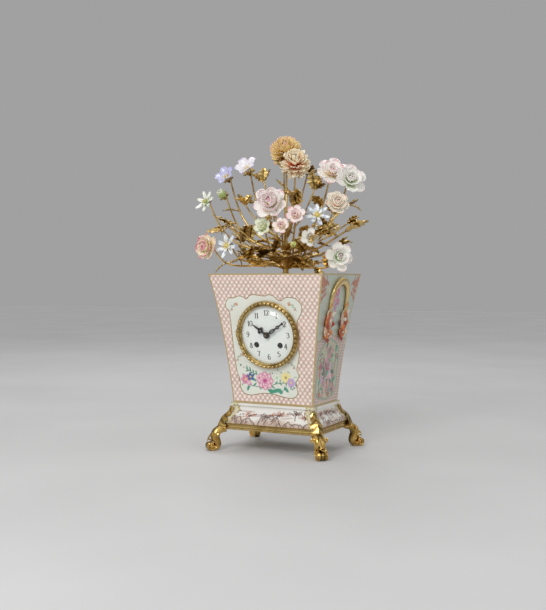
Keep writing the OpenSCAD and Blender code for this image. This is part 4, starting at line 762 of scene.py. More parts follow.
class Paint:
    """Paint laid on the points of one wall: a colour and how far it covers each point."""

    def __init__(self, u: Array, v: Array) -> None:
        """Starts with bare points at u across the wall and v up it.

        Args:
            u, v: the points' places, in millimetres.
        """
        self.u, self.v = u, v
        self.rgb = np.zeros((len(u), 3))
        self.cover = np.zeros(len(u))

    def near(self, low: Point, high: Point, reach: float) -> Array:
        """Indices of the points within reach of a box."""
        inside = (self.u > low[0] - reach) & (self.u < high[0] + reach)
        return np.nonzero(inside & (self.v > low[1] - reach) & (self.v < high[1] + reach))[0]

    def lay(self, index: Array, mask: Array, colour: Colour) -> None:
        """Lays a colour over what is there, in proportion to mask.

        Args:
            index: the points to paint.
            mask: how far each is covered, 0 to 1.
            colour: the paint.
        """
        total = self.cover[index] * (1 - mask) + mask
        kept = (self.cover[index] * (1 - mask))[:, None] * self.rgb[index]
        self.rgb[index] = (kept + mask[:, None] * np.asarray(colour)) / np.maximum(total, 1e-6)[:, None]
        self.cover[index] = total

    def spot(self, x: float, y: float, rx: float, ry: float, colour: Colour, turn: float = 0.0,
            soft: float = 0.35, strength: float = 1.0) -> None:
        """An ellipse with a soft edge: full inside, nothing where its own distance passes 1 + soft / 2.

        Args:
            x, y, rx, ry: its middle and half widths.
            colour, strength: the paint and its cover.
            turn: angle of rx against u.
            soft: width of the soft edge as a share of the radius.
        """
        index = self.near((x, y), (x, y), 1.3 * max(rx, ry) + 1)
        dx, dy = self.u[index] - x, self.v[index] - y
        a = dx * math.cos(turn) + dy * math.sin(turn)
        b = dy * math.cos(turn) - dx * math.sin(turn)
        share = np.clip((1 + soft / 2 - np.hypot(a / rx, b / ry)) / soft, 0, 1)
        self.lay(index, strength * share * share * (3 - 2 * share), colour)

    def line(self, points: Points, width: float, colour: Colour, strength: float = 1.0) -> None:
        """A brush line: full within half the width of the nearest of its stretches.

        Args:
            points: the line's corners.
            width: of the brush.
            colour, strength: the paint and its cover.
        """
        p = np.asarray(points, float)
        index = self.near(p.min(0), p.max(0), width + 1)
        if not len(index):
            return
        here = np.stack([self.u[index], self.v[index]], -1)[:, None]
        start, run = p[None, :-1], (p[1:] - p[:-1])[None]
        t = np.clip(((here - start) * run).sum(-1) / np.maximum((run * run).sum(-1), 1e-9), 0, 1)
        away = np.linalg.norm(here - start - t[..., None] * run, axis=-1).min(1)
        self.lay(index, strength * np.clip((width / 2 + 0.35 - away) / 0.5, 0, 1), colour)

    def blossom(self, x: float, y: float, r: float, petals: int, body: Colour, rim: Colour, heart: Colour,
            rings: int = 2, turn: float = 0.0) -> None:
        """Rings of petals, each an ellipse of the rim's colour under a smaller one of the body's.

        Args:
            x, y, r: its middle and radius.
            petals, rings: petals to a ring, and rings.
            body, rim, heart: its colours.
            turn: angle of the first petal.
        """
        for ring in range(rings):
            size = r * (1 - 0.36 * ring)
            for k in range(petals):
                angle = turn + 2 * math.pi * (k + 0.5 * ring) / petals
                c, s = math.cos(angle), math.sin(angle)
                px, py = x + 0.6 * size * c, y + 0.6 * size * s
                self.spot(px, py, 0.46 * size, 0.36 * size, rim, angle, 0.25)
                middle = (px + 0.05 * size * c, py + 0.05 * size * s)
                self.spot(*middle, 0.34 * size, 0.25 * size, body, angle, 0.6)
                self.line([(x + 0.2 * size * c, y + 0.2 * size * s), (px, py)], 0.35, rim, 0.8)
        self.spot(x, y, 0.24 * r, 0.24 * r, heart, 0, 0.6)

    def leaf(self, x: float, y: float, length: float, turn: float, colour: Colour, vein: Colour,
            width: float = 0.34) -> None:
        """A leaf that grows from a point: an ellipse and a vein along it.

        Args:
            x, y: where it grows from.
            length, turn: its length and direction.
            colour, vein: its colours.
            width: its width as a share of the length.
        """
        dx, dy = math.cos(turn), math.sin(turn)
        self.spot(x + dx * length / 2, y + dy * length / 2, length / 2, width * length / 2, colour, turn,
            0.4)
        self.line([(x, y), (x + dx * length * 0.8, y + dy * length * 0.8)], 0.5, vein, 0.8)

    def branch(self, points: Points, width: float, colour: Colour, leaf: Colour, vein: Colour, leaves: int,
            length: float, seed: int) -> None:
        """A curved stem with leaves to both sides of it.

        Args:
            points: corners of the stem's curve.
            width, colour: of the stem.
            leaf, vein: colours of its leaves.
            leaves, length: how many, and how long.
            seed: for the leaves' differences.
        """
        rng = np.random.default_rng(seed)
        path = smooth_line(points, 24)
        self.line(path, width, colour)
        for k in range(leaves):
            i = int(2 + 20 * (k + 0.5) / leaves)
            way = math.atan2(*(path[i + 1] - path[i - 1])[::-1])
            side = 1 if k % 2 else -1
            self.leaf(*path[i], length * rng.uniform(0.7, 1.1), way + side * rng.uniform(0.6, 1.0), leaf,
                vein)


MAGENTA: Colour = (0.55, 0.07, 0.27)
PINK: Colour = (0.76, 0.33, 0.45)
PALE_PINK: Colour = (0.86, 0.58, 0.62)
WHITE: Colour = (0.88, 0.87, 0.82)
YELLOW: Colour = (0.8, 0.66, 0.16)
PURPLE: Colour = (0.4, 0.2, 0.5)
COBALT: Colour = (0.03, 0.07, 0.24)
LEAF_GREEN: Colour = (0.07, 0.35, 0.22)
PALE_GREEN: Colour = (0.42, 0.6, 0.36)
DARK_GREEN: Colour = (0.03, 0.16, 0.11)
RUST: Colour = (0.56, 0.16, 0.06)
SEPIA: Colour = (0.1, 0.055, 0.04)
PUCE: Colour = (0.36, 0.2, 0.17)
SAND: Colour = (0.62, 0.46, 0.33)
OLIVE: Colour = (0.36, 0.31, 0.14)

# Names of the walls in the order of their quarter turns, and that turn
WALLS = ("front", "right", "back", "left")
QUARTER = np.array([[0, 1, 0], [-1, 0, 0], [0, 0, 1]], float)


@dataclass(frozen=True)
class Lean:
    """The dial's own frame: x to the right, y up the dial and z out of it, square to the
    front wall, which leans outwards."""

    face_y: float = -53.006
    dial_z: float = 167.0
    angle: float = math.atan(26 / 184)

    def on_dial(self, xyz: Array) -> Array:
        """Points of the dial's frame in the clock's.

        Args:
            xyz: points of the dial's frame.

        Returns:
            Points of the clock's frame.
        """
        x, y, z = np.moveaxis(np.asarray(xyz, float), -1, 0)
        s, c = math.sin(self.angle), math.cos(self.angle)
        return np.stack([x, self.face_y - y * s - z * c, self.dial_z + y * c - z * s], -1)


LEAN = Lean()


@dataclass
class Vase:
    """The flared square vase: its walls are painted sheets just off the porcelain."""

    top: Pair = (178.0, 136.0)
    foot: Pair = (126.0, 84.0)
    foot_z: float = 68.0
    height: float = 184.0
    sag: float = 3.0
    proud: float = 0.12
    # Columns and rows of a wall's grid
    grid: tuple[int, int] = (222, 216)
    # Round openings of the front and the back wall: height of the middle and radius
    openings: dict[int, Pair] = field(default_factory=lambda: {0: (167.0, 45.6), 2: (176.4, 41.5)})
    # Outline of the front's reserve, clockwise from its upper left corner: across the wall and height
    front_reserve: Outline = ((-65, 212), (-59, 218), (-52, 218), (-44, 221), (-37, 220), (-31, 217),
        (-26, 221), (-19, 223), (-3, 221), (5, 223), (12, 221), (18, 216), (24, 215), (30, 219), (40, 219),
        (48, 216), (54, 208), (53, 198), (47, 188), (45, 178), (47, 167), (44, 153), (46, 142), (44, 130),
        (41, 119), (44, 110), (39, 100), (41, 86), (35, 79), (24, 78), (3, 82), (-10, 83), (-22, 81),
        (-33, 79), (-44, 81), (-50, 89), (-51, 101), (-55, 113), (-57, 130), (-59, 158), (-60, 186),
        (-61, 199), (-66, 204))
    # Leaves and blossoms scattered over the sides' garden
    scattered: int = 80
    # Outline of the arched reserve low on the sides
    arch: Outline = ((-39, 128), (-36, 142), (-26, 152), (-14, 157), (-4, 160), (6, 157), (18, 152),
        (28, 142), (31, 128), (29, 108), (31, 92), (22, 80), (8, 77), (-4, 75), (-16, 77), (-30, 80),
        (-39, 92), (-37, 108))
    # Lower border of the pale zone under the sides' handles
    zone_border: Outline = ((-62, 150), (-50, 158), (-40, 160), (-30, 166), (-14, 164), (-4, 168), (6, 164),
        (22, 166), (34, 160), (46, 158), (62, 150))

    def half(self, axis: int, t: Array) -> Array:
        """Half width of the vase across one axis: it grows straight from foot to top, drawn in by
        a parabola that is deepest half way up."""
        return (self.foot[axis] + (self.top[axis] - self.foot[axis]) * t) / 2 - self.sag * 4 * t * (1 - t)

    @staticmethod
    def away(u: Array, v: Array, outline: Points) -> Array:
        """Signed distance to a closed outline: to its nearest stretch, negative where a ray to
        the right crosses it an odd number of times.

        Args:
            u, v: the points.
            outline: corners of the smooth outline.

        Returns:
            The distance of each point.
        """
        p = smooth_line(outline, 6 * len(outline), closed=True)
        q = np.roll(p, -1, axis=0)
        here = np.stack([u, v], -1)
        best = np.full(len(u), 1e9)
        odd = np.zeros(len(u), bool)
        for a, b in zip(p, q):
            run = b - a
            t = np.clip(((here - a) @ run) / (run @ run), 0, 1)
            best = np.minimum(best, np.linalg.norm(here - a - t[:, None] * run, axis=1))
            crosses = (a[1] > v) != (b[1] > v)
            odd ^= crosses & (u < a[0] + (v - a[1]) / (b[1] - a[1] if b[1] != a[1] else 1) * run[0])
        return np.where(odd, -best, best)

    def paint_front(self, paint: Paint) -> None:
        """A spray of garden flowers across the foot of the reserve, small rust sprays above.

        Args:
            paint: the wall's paint.
        """
        leaf = (LEAF_GREEN, DARK_GREEN)
        for path, seed in (([(-44, 97), (-30, 93), (-12, 91), (4, 86), (18, 88)], 3),
                ([(-8, 92), (10, 98), (24, 99), (34, 94)], 5), ([(-20, 108), (-30, 112), (-40, 118)], 7)):
            paint.branch(path, 0.8, DARK_GREEN, *leaf, 7, 7.0, seed)
        for x, y, length, turn in ((-6, 88, 13, -0.2), (2, 87, 14, 0.15), (8, 90, 11, -0.5),
                (-36, 94, 9, -1.9), (-24, 100, 9, 2.6), (14, 100, 9, 1.9), (20, 94, 10, -0.9),
                (-2, 90, 8, -1.2)):
            paint.leaf(x, y, length, turn, *leaf, 0.42)
        for x, y in ((-22, 112), (-2, 113), (12, 116), (36, 108), (-46, 110), (38, 98), (-14, 90),
                (26, 116)):
            paint.leaf(x, y, 4.5, x * 0.7, PALE_GREEN, LEAF_GREEN)
        paint.blossom(-41, 102, 7.5, 6, PINK, MAGENTA, YELLOW)
        paint.blossom(-33, 106, 6.0, 5, (0.1, 0.16, 0.36), COBALT, YELLOW, turn=0.4)
        paint.blossom(-36, 97, 4.5, 5, PALE_PINK, MAGENTA, WHITE, turn=0.9)
        paint.blossom(-10, 101, 12.5, 8, PALE_PINK, MAGENTA, MAGENTA, 3)
        paint.blossom(-19, 105, 5.0, 6, PALE_PINK, PINK, MAGENTA)
        paint.blossom(9, 106, 6.5, 6, WHITE, PALE_GREEN, PALE_GREEN)
        paint.blossom(23, 107, 7.5, 7, (0.86, 0.78, 0.4), YELLOW, OLIVE)
        paint.blossom(31, 100, 6.5, 6, (0.62, 0.45, 0.68), PURPLE, YELLOW)
        for x, y, r in ((36, 93, 1.2), (38, 97, 1.0), (33, 91, 1.1), (-28, 114, 1.0), (2, 112, 1.1),
                (16, 114, 1.0), (-48, 122, 1.3), (-43, 119, 0.9), (-47, 94, 1.0), (20, 90, 1.1)):
            paint.spot(x, y, r, r, DARK_GREEN)
        for x, y, side in ((-54, 206, 1), (41, 207, -1), (34, 126, -1), (-50, 134, 1)):
            paint.branch([(x - 5 * side, y - 7), (x, y), (x + 6 * side, y + 4)], 0.5, OLIVE, PALE_GREEN,
                LEAF_GREEN, 5, 4, 11)
            paint.blossom(x + 6 * side, y + 3, 2.6, 5, (0.8, 0.55, 0.42), RUST, YELLOW, 1)
            paint.spot(x - 2 * side, y - 5, 1.3, 1.0, RUST)

    def paint_side(self, paint: Paint, zone: Array, arch: Array) -> None:
        """A pink spray that hangs inside the handle, rust scrolls in the upper corners, and a
        garden of trees and flowers in the arched reserve.

        Args:
            paint: the wall's paint.
            zone: each point's distance below the upper zone's border.
            arch: its signed distance to the arch.
        """
        every = np.arange(len(paint.u))
        paint.lay(every, np.clip(0.5 - zone, 0, 1), (0.48, 0.54, 0.46))
        paint.line(smooth_line(self.zone_border, 60), 0.9, OLIVE)
        for side in (-1, 1):
            for k in range(4):
                x, y = side * (62 - 5.0 * k), 246 - 1.5 * k
                paint.blossom(side * (62 - 2 * k), 245 - 9 * k, 5.2 - 0.5 * k, 5, (0.62, 0.26, 0.17), RUST,
                    SEPIA, 1)
                paint.leaf(x, y, 12 - k, -1.57 - side * 0.3 * k, (0.52, 0.18, 0.1), SEPIA, 0.5)
                paint.leaf(side * (60 - 3 * k), 238 - 6 * k, 10, 1.57 + side * 0.9, (0.56, 0.22, 0.13),
                    SEPIA, 0.5)
            paint.line(smooth_line([(side * 50, 250), (side * 48, 240), (side * 54, 231), (side * 53, 220),
                (side * 59, 210)], 30), 1.4, (0.4, 0.12, 0.05))
        paint.branch([(-7, 234), (-3, 222), (-8, 210), (-4, 198), (-6, 186)], 0.7, LEAF_GREEN, PALE_GREEN,
            LEAF_GREEN, 9, 7, 13)
        for x, y, r, body in ((-5, 226, 6.5, (0.58, 0.14, 0.3)), (-11, 217, 6.0, PINK),
                (1, 213, 5.5, (0.58, 0.14, 0.3)), (-6, 206, 5.0, (0.46, 0.26, 0.5)), (-4, 198, 3.6, PINK),
                (-6, 190, 2.6, PINK), (-2, 233, 4.5, PINK)):
            paint.blossom(x, y, r, 6, body, MAGENTA, YELLOW)
        inside = np.clip(0.5 - arch, 0, 1)
        paint.lay(every, inside, (0.5, 0.47, 0.33))
        before = paint.cover.copy(), paint.rgb.copy()
        paint.spot(-4, 92, 34, 16, (0.55, 0.6, 0.42), 0.05, 0.7, 0.8)
        paint.spot(8, 84, 26, 9, SAND, -0.1, 0.6, 0.8)
        rng = np.random.default_rng(21)
        for trunk, crown, tone in (([(-30, 84), (-28, 104), (-32, 122), (-27, 138)], (-27, 138), PUCE),
                ([(20, 86), (17, 108), (21, 128), (17, 146)], (17, 146), LEAF_GREEN)):
            paint.line(smooth_line(trunk, 20), 1.5, (0.26, 0.12, 0.12))
            for _ in range(26):
                x, y = crown[0] + rng.normal(0, 5.5), crown[1] - 6 + rng.normal(0, 7)
                paint.spot(x, y, 2.2, 1.5, tone if rng.random() < 0.6 else PALE_GREEN, rng.uniform(0, 3),
                    0.5, 0.9)
        for x, y, r, body, rim in ((-18, 118, 7, PALE_PINK, PUCE), (-8, 128, 6, PINK, MAGENTA),
                (2, 120, 7, (0.66, 0.5, 0.6), PURPLE), (-6, 110, 7.5, PALE_PINK, PUCE),
                (-20, 104, 6, (0.6, 0.44, 0.56), PURPLE), (8, 108, 6, PALE_PINK, PINK),
                (-12, 96, 5, (0.8, 0.62, 0.5), RUST), (3, 98, 5, PALE_PINK, PUCE)):
            paint.blossom(x, y, r, 6, body, rim, (0.75, 0.55, 0.3))
        for x, y, length, turn in ((-30, 96, 9, 1.2), (-26, 90, 8, 0.4), (14, 94, 9, 2.2), (22, 98, 8, 1.4),
                (-2, 86, 10, 0.2), (6, 82, 9, 2.9), (-14, 88, 8, 2.6), (12, 88, 8, 0.5), (-24, 128, 7, 0.3),
                (10, 134, 7, 2.2)):
            paint.leaf(x, y, length, turn, LEAF_GREEN, DARK_GREEN, 0.5)
        for _ in range(self.scattered):
            x, y = rng.uniform(-36, 29), rng.uniform(78, 152)
            tone = (LEAF_GREEN, DARK_GREEN, (0.04, 0.26, 0.13), PUCE, (0.4, 0.12, 0.2),
                RUST)[rng.integers(6)]
            if rng.random() < 0.6:
                paint.leaf(x, y, rng.uniform(6, 13), rng.uniform(0, 6.3), tone, SEPIA, 0.5)
            else:
                paint.blossom(x, y, rng.uniform(3, 6), 6, (0.66, 0.34, 0.38), tone, (0.62, 0.46, 0.22), 1)
        outside = arch > 0.3
        paint.cover[outside], paint.rgb[outside] = before[0][outside], before[1][outside]
        rim = smooth_line(self.arch, 120, closed=True)
        paint.line(np.vstack([rim, rim[:1]]), 1.8, (0.16, 0.4, 0.28))
        paint.line(np.vstack([rim, rim[:1]]) * [1.06, 1.012] - [0, 1.2], 0.6, OLIVE, 0.7)

    def wall(self, turn: int) -> Object:
        """One painted wall: u runs across it and z up it, on the vase's curve, turned by quarter turns.

        Args:
            turn: quarter turns from the front.

        Returns:
            The wall's object.
        """
        across, out = turn % 2, 1 - turn % 2
        columns, rows = self.grid
        t, s = shares(rows, columns)
        u = s * (self.half(across, t) + self.proud)
        z = self.foot_z + self.height * t
        xyz = np.stack([u, -self.half(out, t) - self.proud, z], -1)
        clay = Clay()
        paint = Paint(-u.ravel() if turn == 3 else u.ravel(), z.ravel())
        if across:
            border = smooth_line(self.zone_border, 60)
            zone = np.interp(paint.u, border[:, 0], border[:, 1]) - paint.v
            arch = self.away(paint.u, paint.v, self.arch)
            self.paint_side(paint, zone, arch)
            reserve = np.minimum(zone, arch)
        else:
            reserve = self.away(paint.u, paint.v, self.front_reserve)
            self.paint_front(paint)
        clay.sheet(xyz @ np.linalg.matrix_power(QUARTER, turn), paint.rgb.reshape(*u.shape, 3))
        if turn in self.openings:
            middle, radius = self.openings[turn]
            clay.cut(np.hypot(u, (z - middle) / math.cos(LEAN.angle)) < radius)
        edge = np.minimum(self.half(across, t) - np.abs(u), np.minimum(t, 1 - t) * self.height * 0.8)
        clay.layers = {"across": u, "reserve": reserve, "cover": paint.cover, "edge": edge}
        finish = SIDE_PAINT if across else FRONT_PAINT
        return backed(clay.piece(f"painted_wall_{WALLS[turn]}", finish, "case", "painted_porcelain",
            weld=False))

    def build(self) -> None:
        """All four walls."""
        for turn in range(4):
            self.wall(turn)


def backed(piece: Object) -> Object:
    """Gives a painted sheet a thin back.

    Args:
        piece: the sheet.

    Returns:
        The same piece.
    """
    back = piece.modifiers.new("back", "SOLIDIFY")
    back.thickness = 0.0001
    back.offset = -1.0
    return piece


FRONT_PAINT = PaintedWall("front_painting", Ground.DOTS, (0.8, 0.81, 0.72), (0.3, 0.2, 0.07))
SIDE_PAINT = PaintedWall("side_painting", Ground.DOTS, (0.66, 0.71, 0.65), (0.3, 0.26, 0.1),
    pitch=(6.0, 8.4), dot_r=1.3, net=(0.44, 0.28, 0.24), dot=(0.76, 0.71, 0.6))
PLINTH_PAINT = PaintedWall("plinth_painting", Ground.PLAIN, (0.84, 0.82, 0.76), OLIVE, gilt_w=1.1)


@dataclass
class Plinth:
    """The porcelain plinth: four ogee walls painted with landscapes, gilt patterned corners."""

    base: Pair = (150.0, 108.0)
    top: Pair = (126.6, 84.6)
    z: float = 38.0
    height: float = 30.0
    proud: float = 0.12
    columns: int = 240
    rows: int = 56
    # Width of the painting as a share of the base, and the seed of the front's landscape
    drawn_in: float = 0.92
    seed: int = 31
    washes: int = 12
    rocks: int = 9
    trees: int = 6
    # Shares of the height, and how far the outline has drawn in there
    ogee: Outline = ((0, 0.04), (0.06, 0.005), (0.12, 0), (0.18, 0.015), (0.24, 0.06), (0.3, 0.16),
        (0.36, 0.3), (0.42, 0.46), (0.48, 0.62), (0.54, 0.74), (0.6, 0.84), (0.66, 0.91), (0.72, 0.96),
        (0.8, 0.99), (0.84, 1), (0.86, 0.8), (1, 0.8))

    def half(self, axis: int, t: Array) -> Array:
        """Half width: straight between the outline's points."""
        drawn = np.interp(t, *zip(*self.ogee))
        return (self.base[axis] - (self.base[axis] - self.top[axis]) * drawn) / 2

    def landscape(self, paint: Paint, half: float, seed: int) -> None:
        """Hills and water in washes, near rocks and trees in dark brush lines, and between them
        clumps of rust foliage; the two ends carry a pattern of gilt leaves.

        Args:
            paint: the wall's paint.
            half: half the wall's width.
            seed: for the landscape's own forms.
        """
        rng = np.random.default_rng(seed)
        z = self.z
        every = np.arange(len(paint.u))
        low = np.clip((z + 10 + 3 * np.sin(paint.u / 11 + seed) - paint.v) / 5, 0, 1)
        paint.lay(every, 0.55 * low, SAND)
        for k in range(self.washes):
            x = -half + 2 * half * (k + rng.uniform(0.2, 0.8)) / self.washes
            paint.spot(x, z + rng.uniform(9, 18), rng.uniform(7, 15), rng.uniform(0.8, 2.4), PUCE,
                rng.uniform(-0.12, 0.12), 0.8, 0.5)
        for k in range(self.rocks):
            x = -half + 2 * half * (k + rng.uniform(0.2, 0.8)) / self.rocks
            tall, wide, lean = rng.uniform(5, 15), rng.uniform(7, 13), rng.uniform(-0.5, 0.5)
            step = np.linspace(-1, 1, 9)
            high = z + tall * (1 - np.abs(step - lean) ** 1.6) + rng.normal(0, 0.8, 9)
            crest = np.stack([x + wide * step, high], -1)
            paint.spot(x, z + 0.35 * tall, wide, 0.4 * tall, (0.58, 0.42, 0.34), 0, 0.9, 0.6)
            paint.line(smooth_line(crest, 24), 1.1, SEPIA, 0.9)
            for _ in range(9):
                i = rng.integers(1, 8)
                start = crest[i] - [0, rng.uniform(0.5, 4)]
                fall = np.array([rng.uniform(-5, 5), -rng.uniform(2, 7)])
                paint.line(smooth_line([start, start + fall * [0.3, 0.6], start + fall], 8), 0.7,
                    SEPIA if i % 2 else PUCE, 0.85)
        for k in range(self.trees):
            x = -half + 2 * half * (k + rng.uniform(0.3, 0.7)) / self.trees
            foot = z + rng.uniform(6, 11)
            tall, lean = rng.uniform(5, 10), rng.uniform(-6, 6)
            crown = (x + lean, foot + tall)
            trunk = smooth_line([(x, foot), (x + lean * 0.2, foot + tall * 0.5), crown], 12)
            paint.line(trunk, 1.1, SEPIA, 0.95)
            leafy = RUST if k % 2 else (0.22, 0.15, 0.13)
            for _ in range(34):
                paint.spot(crown[0] + rng.normal(0, 5.5), crown[1] + rng.normal(0.4, 1.5),
                    rng.uniform(0.9, 1.6), 0.7, leafy if rng.random() < 0.7 else SEPIA, rng.uniform(0, 3),
                    0.5, 0.85)
            for _ in range(4):
                end = (crown[0] + rng.uniform(-9, 9), crown[1] + rng.uniform(-1, 3))
                paint.line([(x + lean * 0.6, foot + tall * 0.7), end], 0.6, SEPIA, 0.9)
        for side in (-1, 1):
            corner = np.clip((side * paint.u - half + 12) / 0.6, 0, 1)
            paint.lay(every, corner, (0.7, 0.64, 0.46))
            for _ in range(22):
                x, y = side * (half - 1 - 10 * rng.random()), z + self.height * rng.random()
                paint.leaf(x, y, 4.0, rng.uniform(0, 6.3), OLIVE, (0.52, 0.4, 0.16), 0.5)
                paint.spot(x, y, 0.8, 0.8, (0.86, 0.8, 0.62))
            paint.line([(side * (half - 12), z), (side * (half - 12), z + 31)], 1.2, (0.58, 0.44, 0.18))

    def wall(self, turn: int) -> Object:
        """One wall: across u, up the ogee by t, turned by quarter turns.

        Args:
            turn: quarter turns from the front.

        Returns:
            The wall's object.
        """
        across, out = turn % 2, 1 - turn % 2
        steps = np.unique(np.concatenate([np.linspace(0, 1, self.rows), [knot[0] for knot in self.ogee]]))
        t, s = np.meshgrid(steps, np.linspace(-1, 1, self.columns), indexing="ij")
        half = self.half(across, t) + self.proud
        u, z = s * half, self.z + self.height * t
        xyz = np.stack([u, -self.half(out, t) - self.proud, z], -1)
        paint = Paint((s * self.base[across] / 2 * self.drawn_in).ravel(), z.ravel())
        self.landscape(paint, self.base[across] / 2 * self.drawn_in, self.seed + turn)
        clay = Clay()
        clay.sheet(xyz @ np.linalg.matrix_power(QUARTER, turn), paint.rgb.reshape(*u.shape, 3))
        edge = np.minimum(t, 1 - t) * self.height * 1.3
        clay.layers = {"across": u, "reserve": np.full(u.shape, -9.0), "cover": paint.cover, "edge": edge}
        name = f"plinth_wall_{WALLS[turn]}"
        return backed(clay.piece(name, PLINTH_PAINT, "case", "painted_porcelain", weld=False))

    def build(self) -> None:
        """All four walls."""
        for turn in range(4):
            self.wall(turn)


# Gilt mounts


@dataclass
class ScrollFeet:
    """Four gilt scroll feet that stand out of the frame's corners: an S-shaped leg with a volute
    for a toe, leaves on its knee, and a lobed leaf that climbs the plinth's corner."""

    corner: Pair = (77.0, 56.0)
    # Middle line of the leg: out of the corner and height
    line: Outline = ((-8, 30.5), (-1, 29.8), (5.2, 26), (7.6, 19.5), (5.6, 13), (4.4, 8), (6.6, 4.0),
        (12, 2.6))
    toe: Pair = (14.5, 6.9)
    # Leaves, those off the middle on both sides: foot, direction, upper side, length, width, curl
    leaves: tuple[tuple[Place, Place, Place, float, float, float], ...] = (
        ((6, 5, 27), (0.25, 1, -0.05), (1, 0, 0.8), 9, 6, -1.2),
        ((9.0, 0, 28), (0.45, 0, -1), (1, 0, 0.3), 15, 9, 0.75),
        ((9.6, 3, 16), (0.2, 0.8, -0.8), (1, 0.3, 0), 8, 5, 0.6),
        ((8, 4.5, 3.4), (1, 0.35, 0.25), (0, 0, 1), 10, 5, 0.7),
        ((12, 0, 13), (1, 0, 0.9), (-0.3, 0, 1), 8, 6, -1.5))
    # Points round the leg, lobes of the corner's leaf, and rows and columns of its grid
    sides: int = 28
    lobes: float = 4.2
    climb_grid: tuple[int, int] = (40, 15)
    # Middle line of the corner's leaf
    climb: Outline = ((3.4, 28.6), (3.0, 33), (1.2, 38), (-1.4, 43), (-3.4, 46.6), (-7.2, 50), (-11.4, 53.2),
        (-14.4, 56.8), (-16.0, 60), (-15.4, 62))

    def leg(self) -> Array:
        """Rounded ovals across the middle line, which runs on round the toe as a spiral whose
        radius shrinks steadily with the angle.

        Returns:
            The grid of the leg and its toe.
        """
        angle = np.radians(np.linspace(-120, 245, 40))[1:]
        round_toe = np.stack([np.cos(angle), np.sin(angle)], -1)
        spiral = np.linspace(4.97, 1.7, 40)[1:, None] * round_toe + self.toe
        flat = np.vstack([smooth_line(self.line, 44), spiral])
        run = np.linspace(0, 1, len(flat))
        thick = np.interp(run, (0, 0.2, 0.36, 0.48, 0.56, 1), (9, 10.8, 9.6, 7.6, 5.4, 2.8))
        broad = np.interp(run, (0, 0.18, 0.34, 0.46, 0.56, 0.8, 1), (13, 15.4, 14, 12, 13, 14.6, 12.6))
        way = unit(np.gradient(flat, axis=0))
        turn = angles(self.sides)
        side = np.sign(np.cos(turn)) * np.abs(np.cos(turn)) ** 0.7
        out = np.sign(np.sin(turn)) * np.abs(np.sin(turn)) ** 0.75
        rims = np.exp(-(((np.abs(side) - 0.55) / 0.2) ** 2))
        groove = 1 - 0.34 * np.exp(-((side / 0.24) ** 2)) + 0.14 * rims
        off = thick[:, None] / 2 * out * groove
        x = flat[:, :1] + way[:, 1:] * off
        z = flat[:, 1:] - way[:, :1] * off
        y = broad[:, None] / 2 * side
        body = np.stack([x, np.broadcast_to(y, x.shape), np.maximum(z, 0.03)], -1)
        middle = body.mean(axis=1, keepdims=True)
        ends = np.repeat(middle[[0, -1]], self.sides, axis=1)
        return np.concatenate([ends[:1], body, ends[1:]])

    def climbing_leaf(self) -> Array:
        """The corner's leaf: its lobed half width shrinks upwards, and both sides fold back along
        the plinth's two walls.

        Returns:
            The leaf's grid.
        """
        s, v = shares(*self.climb_grid)
        line = smooth_line(self.climb, self.climb_grid[0])
        lobe = np.abs(np.sin(np.pi * self.lobes * (s + 0.02)))
        half = 10.4 * (1 - 0.8 * s**1.1) * (0.78 + 0.3 * lobe)
        groove = 0.5 * np.cos(2 * np.pi * self.lobes * s + 5 * np.abs(v)) * np.abs(v)
        vein = groove + np.exp(-((v / 0.16) ** 2))
        x = line[:, :1] - np.abs(v) ** 1.3 * half * 0.82 + vein
        return np.stack([x, v * half, line[:, 1:] + 0.25 * np.abs(v) * half * (1 - s)], -1)

    def shape(self) -> Clay:
        """One foot in its own frame: X out of the corner, Z up.

        Returns:
            The foot's surfaces.
        """
        clay = Clay()
        leg = self.leg()
        # Painted shade in and along the leg's middle groove, brightest on its outer faces
        flute = np.abs(np.cos(angles(self.sides)))
        shade = np.clip(0.15 + 0.9 * np.abs(flute - 0.24) / 0.5, 0, 1)
        clay.round(leg, shade[None, :, None])
        for side in (-1, 1):
            angle = np.linspace(-2.3, 7.6, 60)
            radius = np.linspace(5.9, 0.7, 60)
            x, z = self.toe[0] + radius * np.cos(angle), self.toe[1] + radius * np.sin(angle)
            bead = np.stack([x, np.full(60, side * 6.6), z], -1)
            clay.round(tube(bead, np.linspace(1.3, 0.8, 60), 8, 1.0, (0, 1, 0)))
            eye = lathe([(0, -1.4), (1.6, -1.4), (2.0, 0), (1.5, 1.0), (0, 1.5)], 16)
            middle = (self.toe[0], side * 6.6, self.toe[1])
            eye = placed(eye[..., [2, 1, 0]] * [side, 1, 1], middle, (0, 1, 0), (0, 0, 1))
            clay.round(eye)
            edge = smooth_line(self.line, 30)
            beside = side * np.interp(np.arange(30), (0, 10, 20, 29), (6.8, 7.4, 6.2, 5.8))
            rib = np.stack([edge[:, 0] + 1.0, beside, edge[:, 1]], -1)
            clay.round(tube(rib, 1.15, 8))
        # Painted shade down the middle of each leaf, lighter towards its raised edges
        ridge = np.abs(np.linspace(-1, 1, LEAF_COLUMNS))
        shade = np.clip(0.3 + 0.7 * ridge**0.6, 0, 1)[None, None, :, None]
        for start, way, up, length, width, curl in self.leaves:
            for side in (1, -1) if start[1] else (1,):
                mirror = np.array([1, side, 1])
                grid = placed(lobed(length, width, 2.5, curl), start * mirror, way * mirror, up * mirror)
                clay.slabs(grid[None], 1.0, shade)
        climb = self.climbing_leaf()
        s, v = shares(*self.climb_grid)
        # Painted shade in the lobes' grooves and painted highlight on their crests
        veins = 0.5 + 0.5 * np.cos(2 * np.pi * self.lobes * s + 5 * np.abs(v))
        clay.slabs(climb[None], 1.2, (0.25 + 0.75 * veins)[None, ..., None])
        return clay

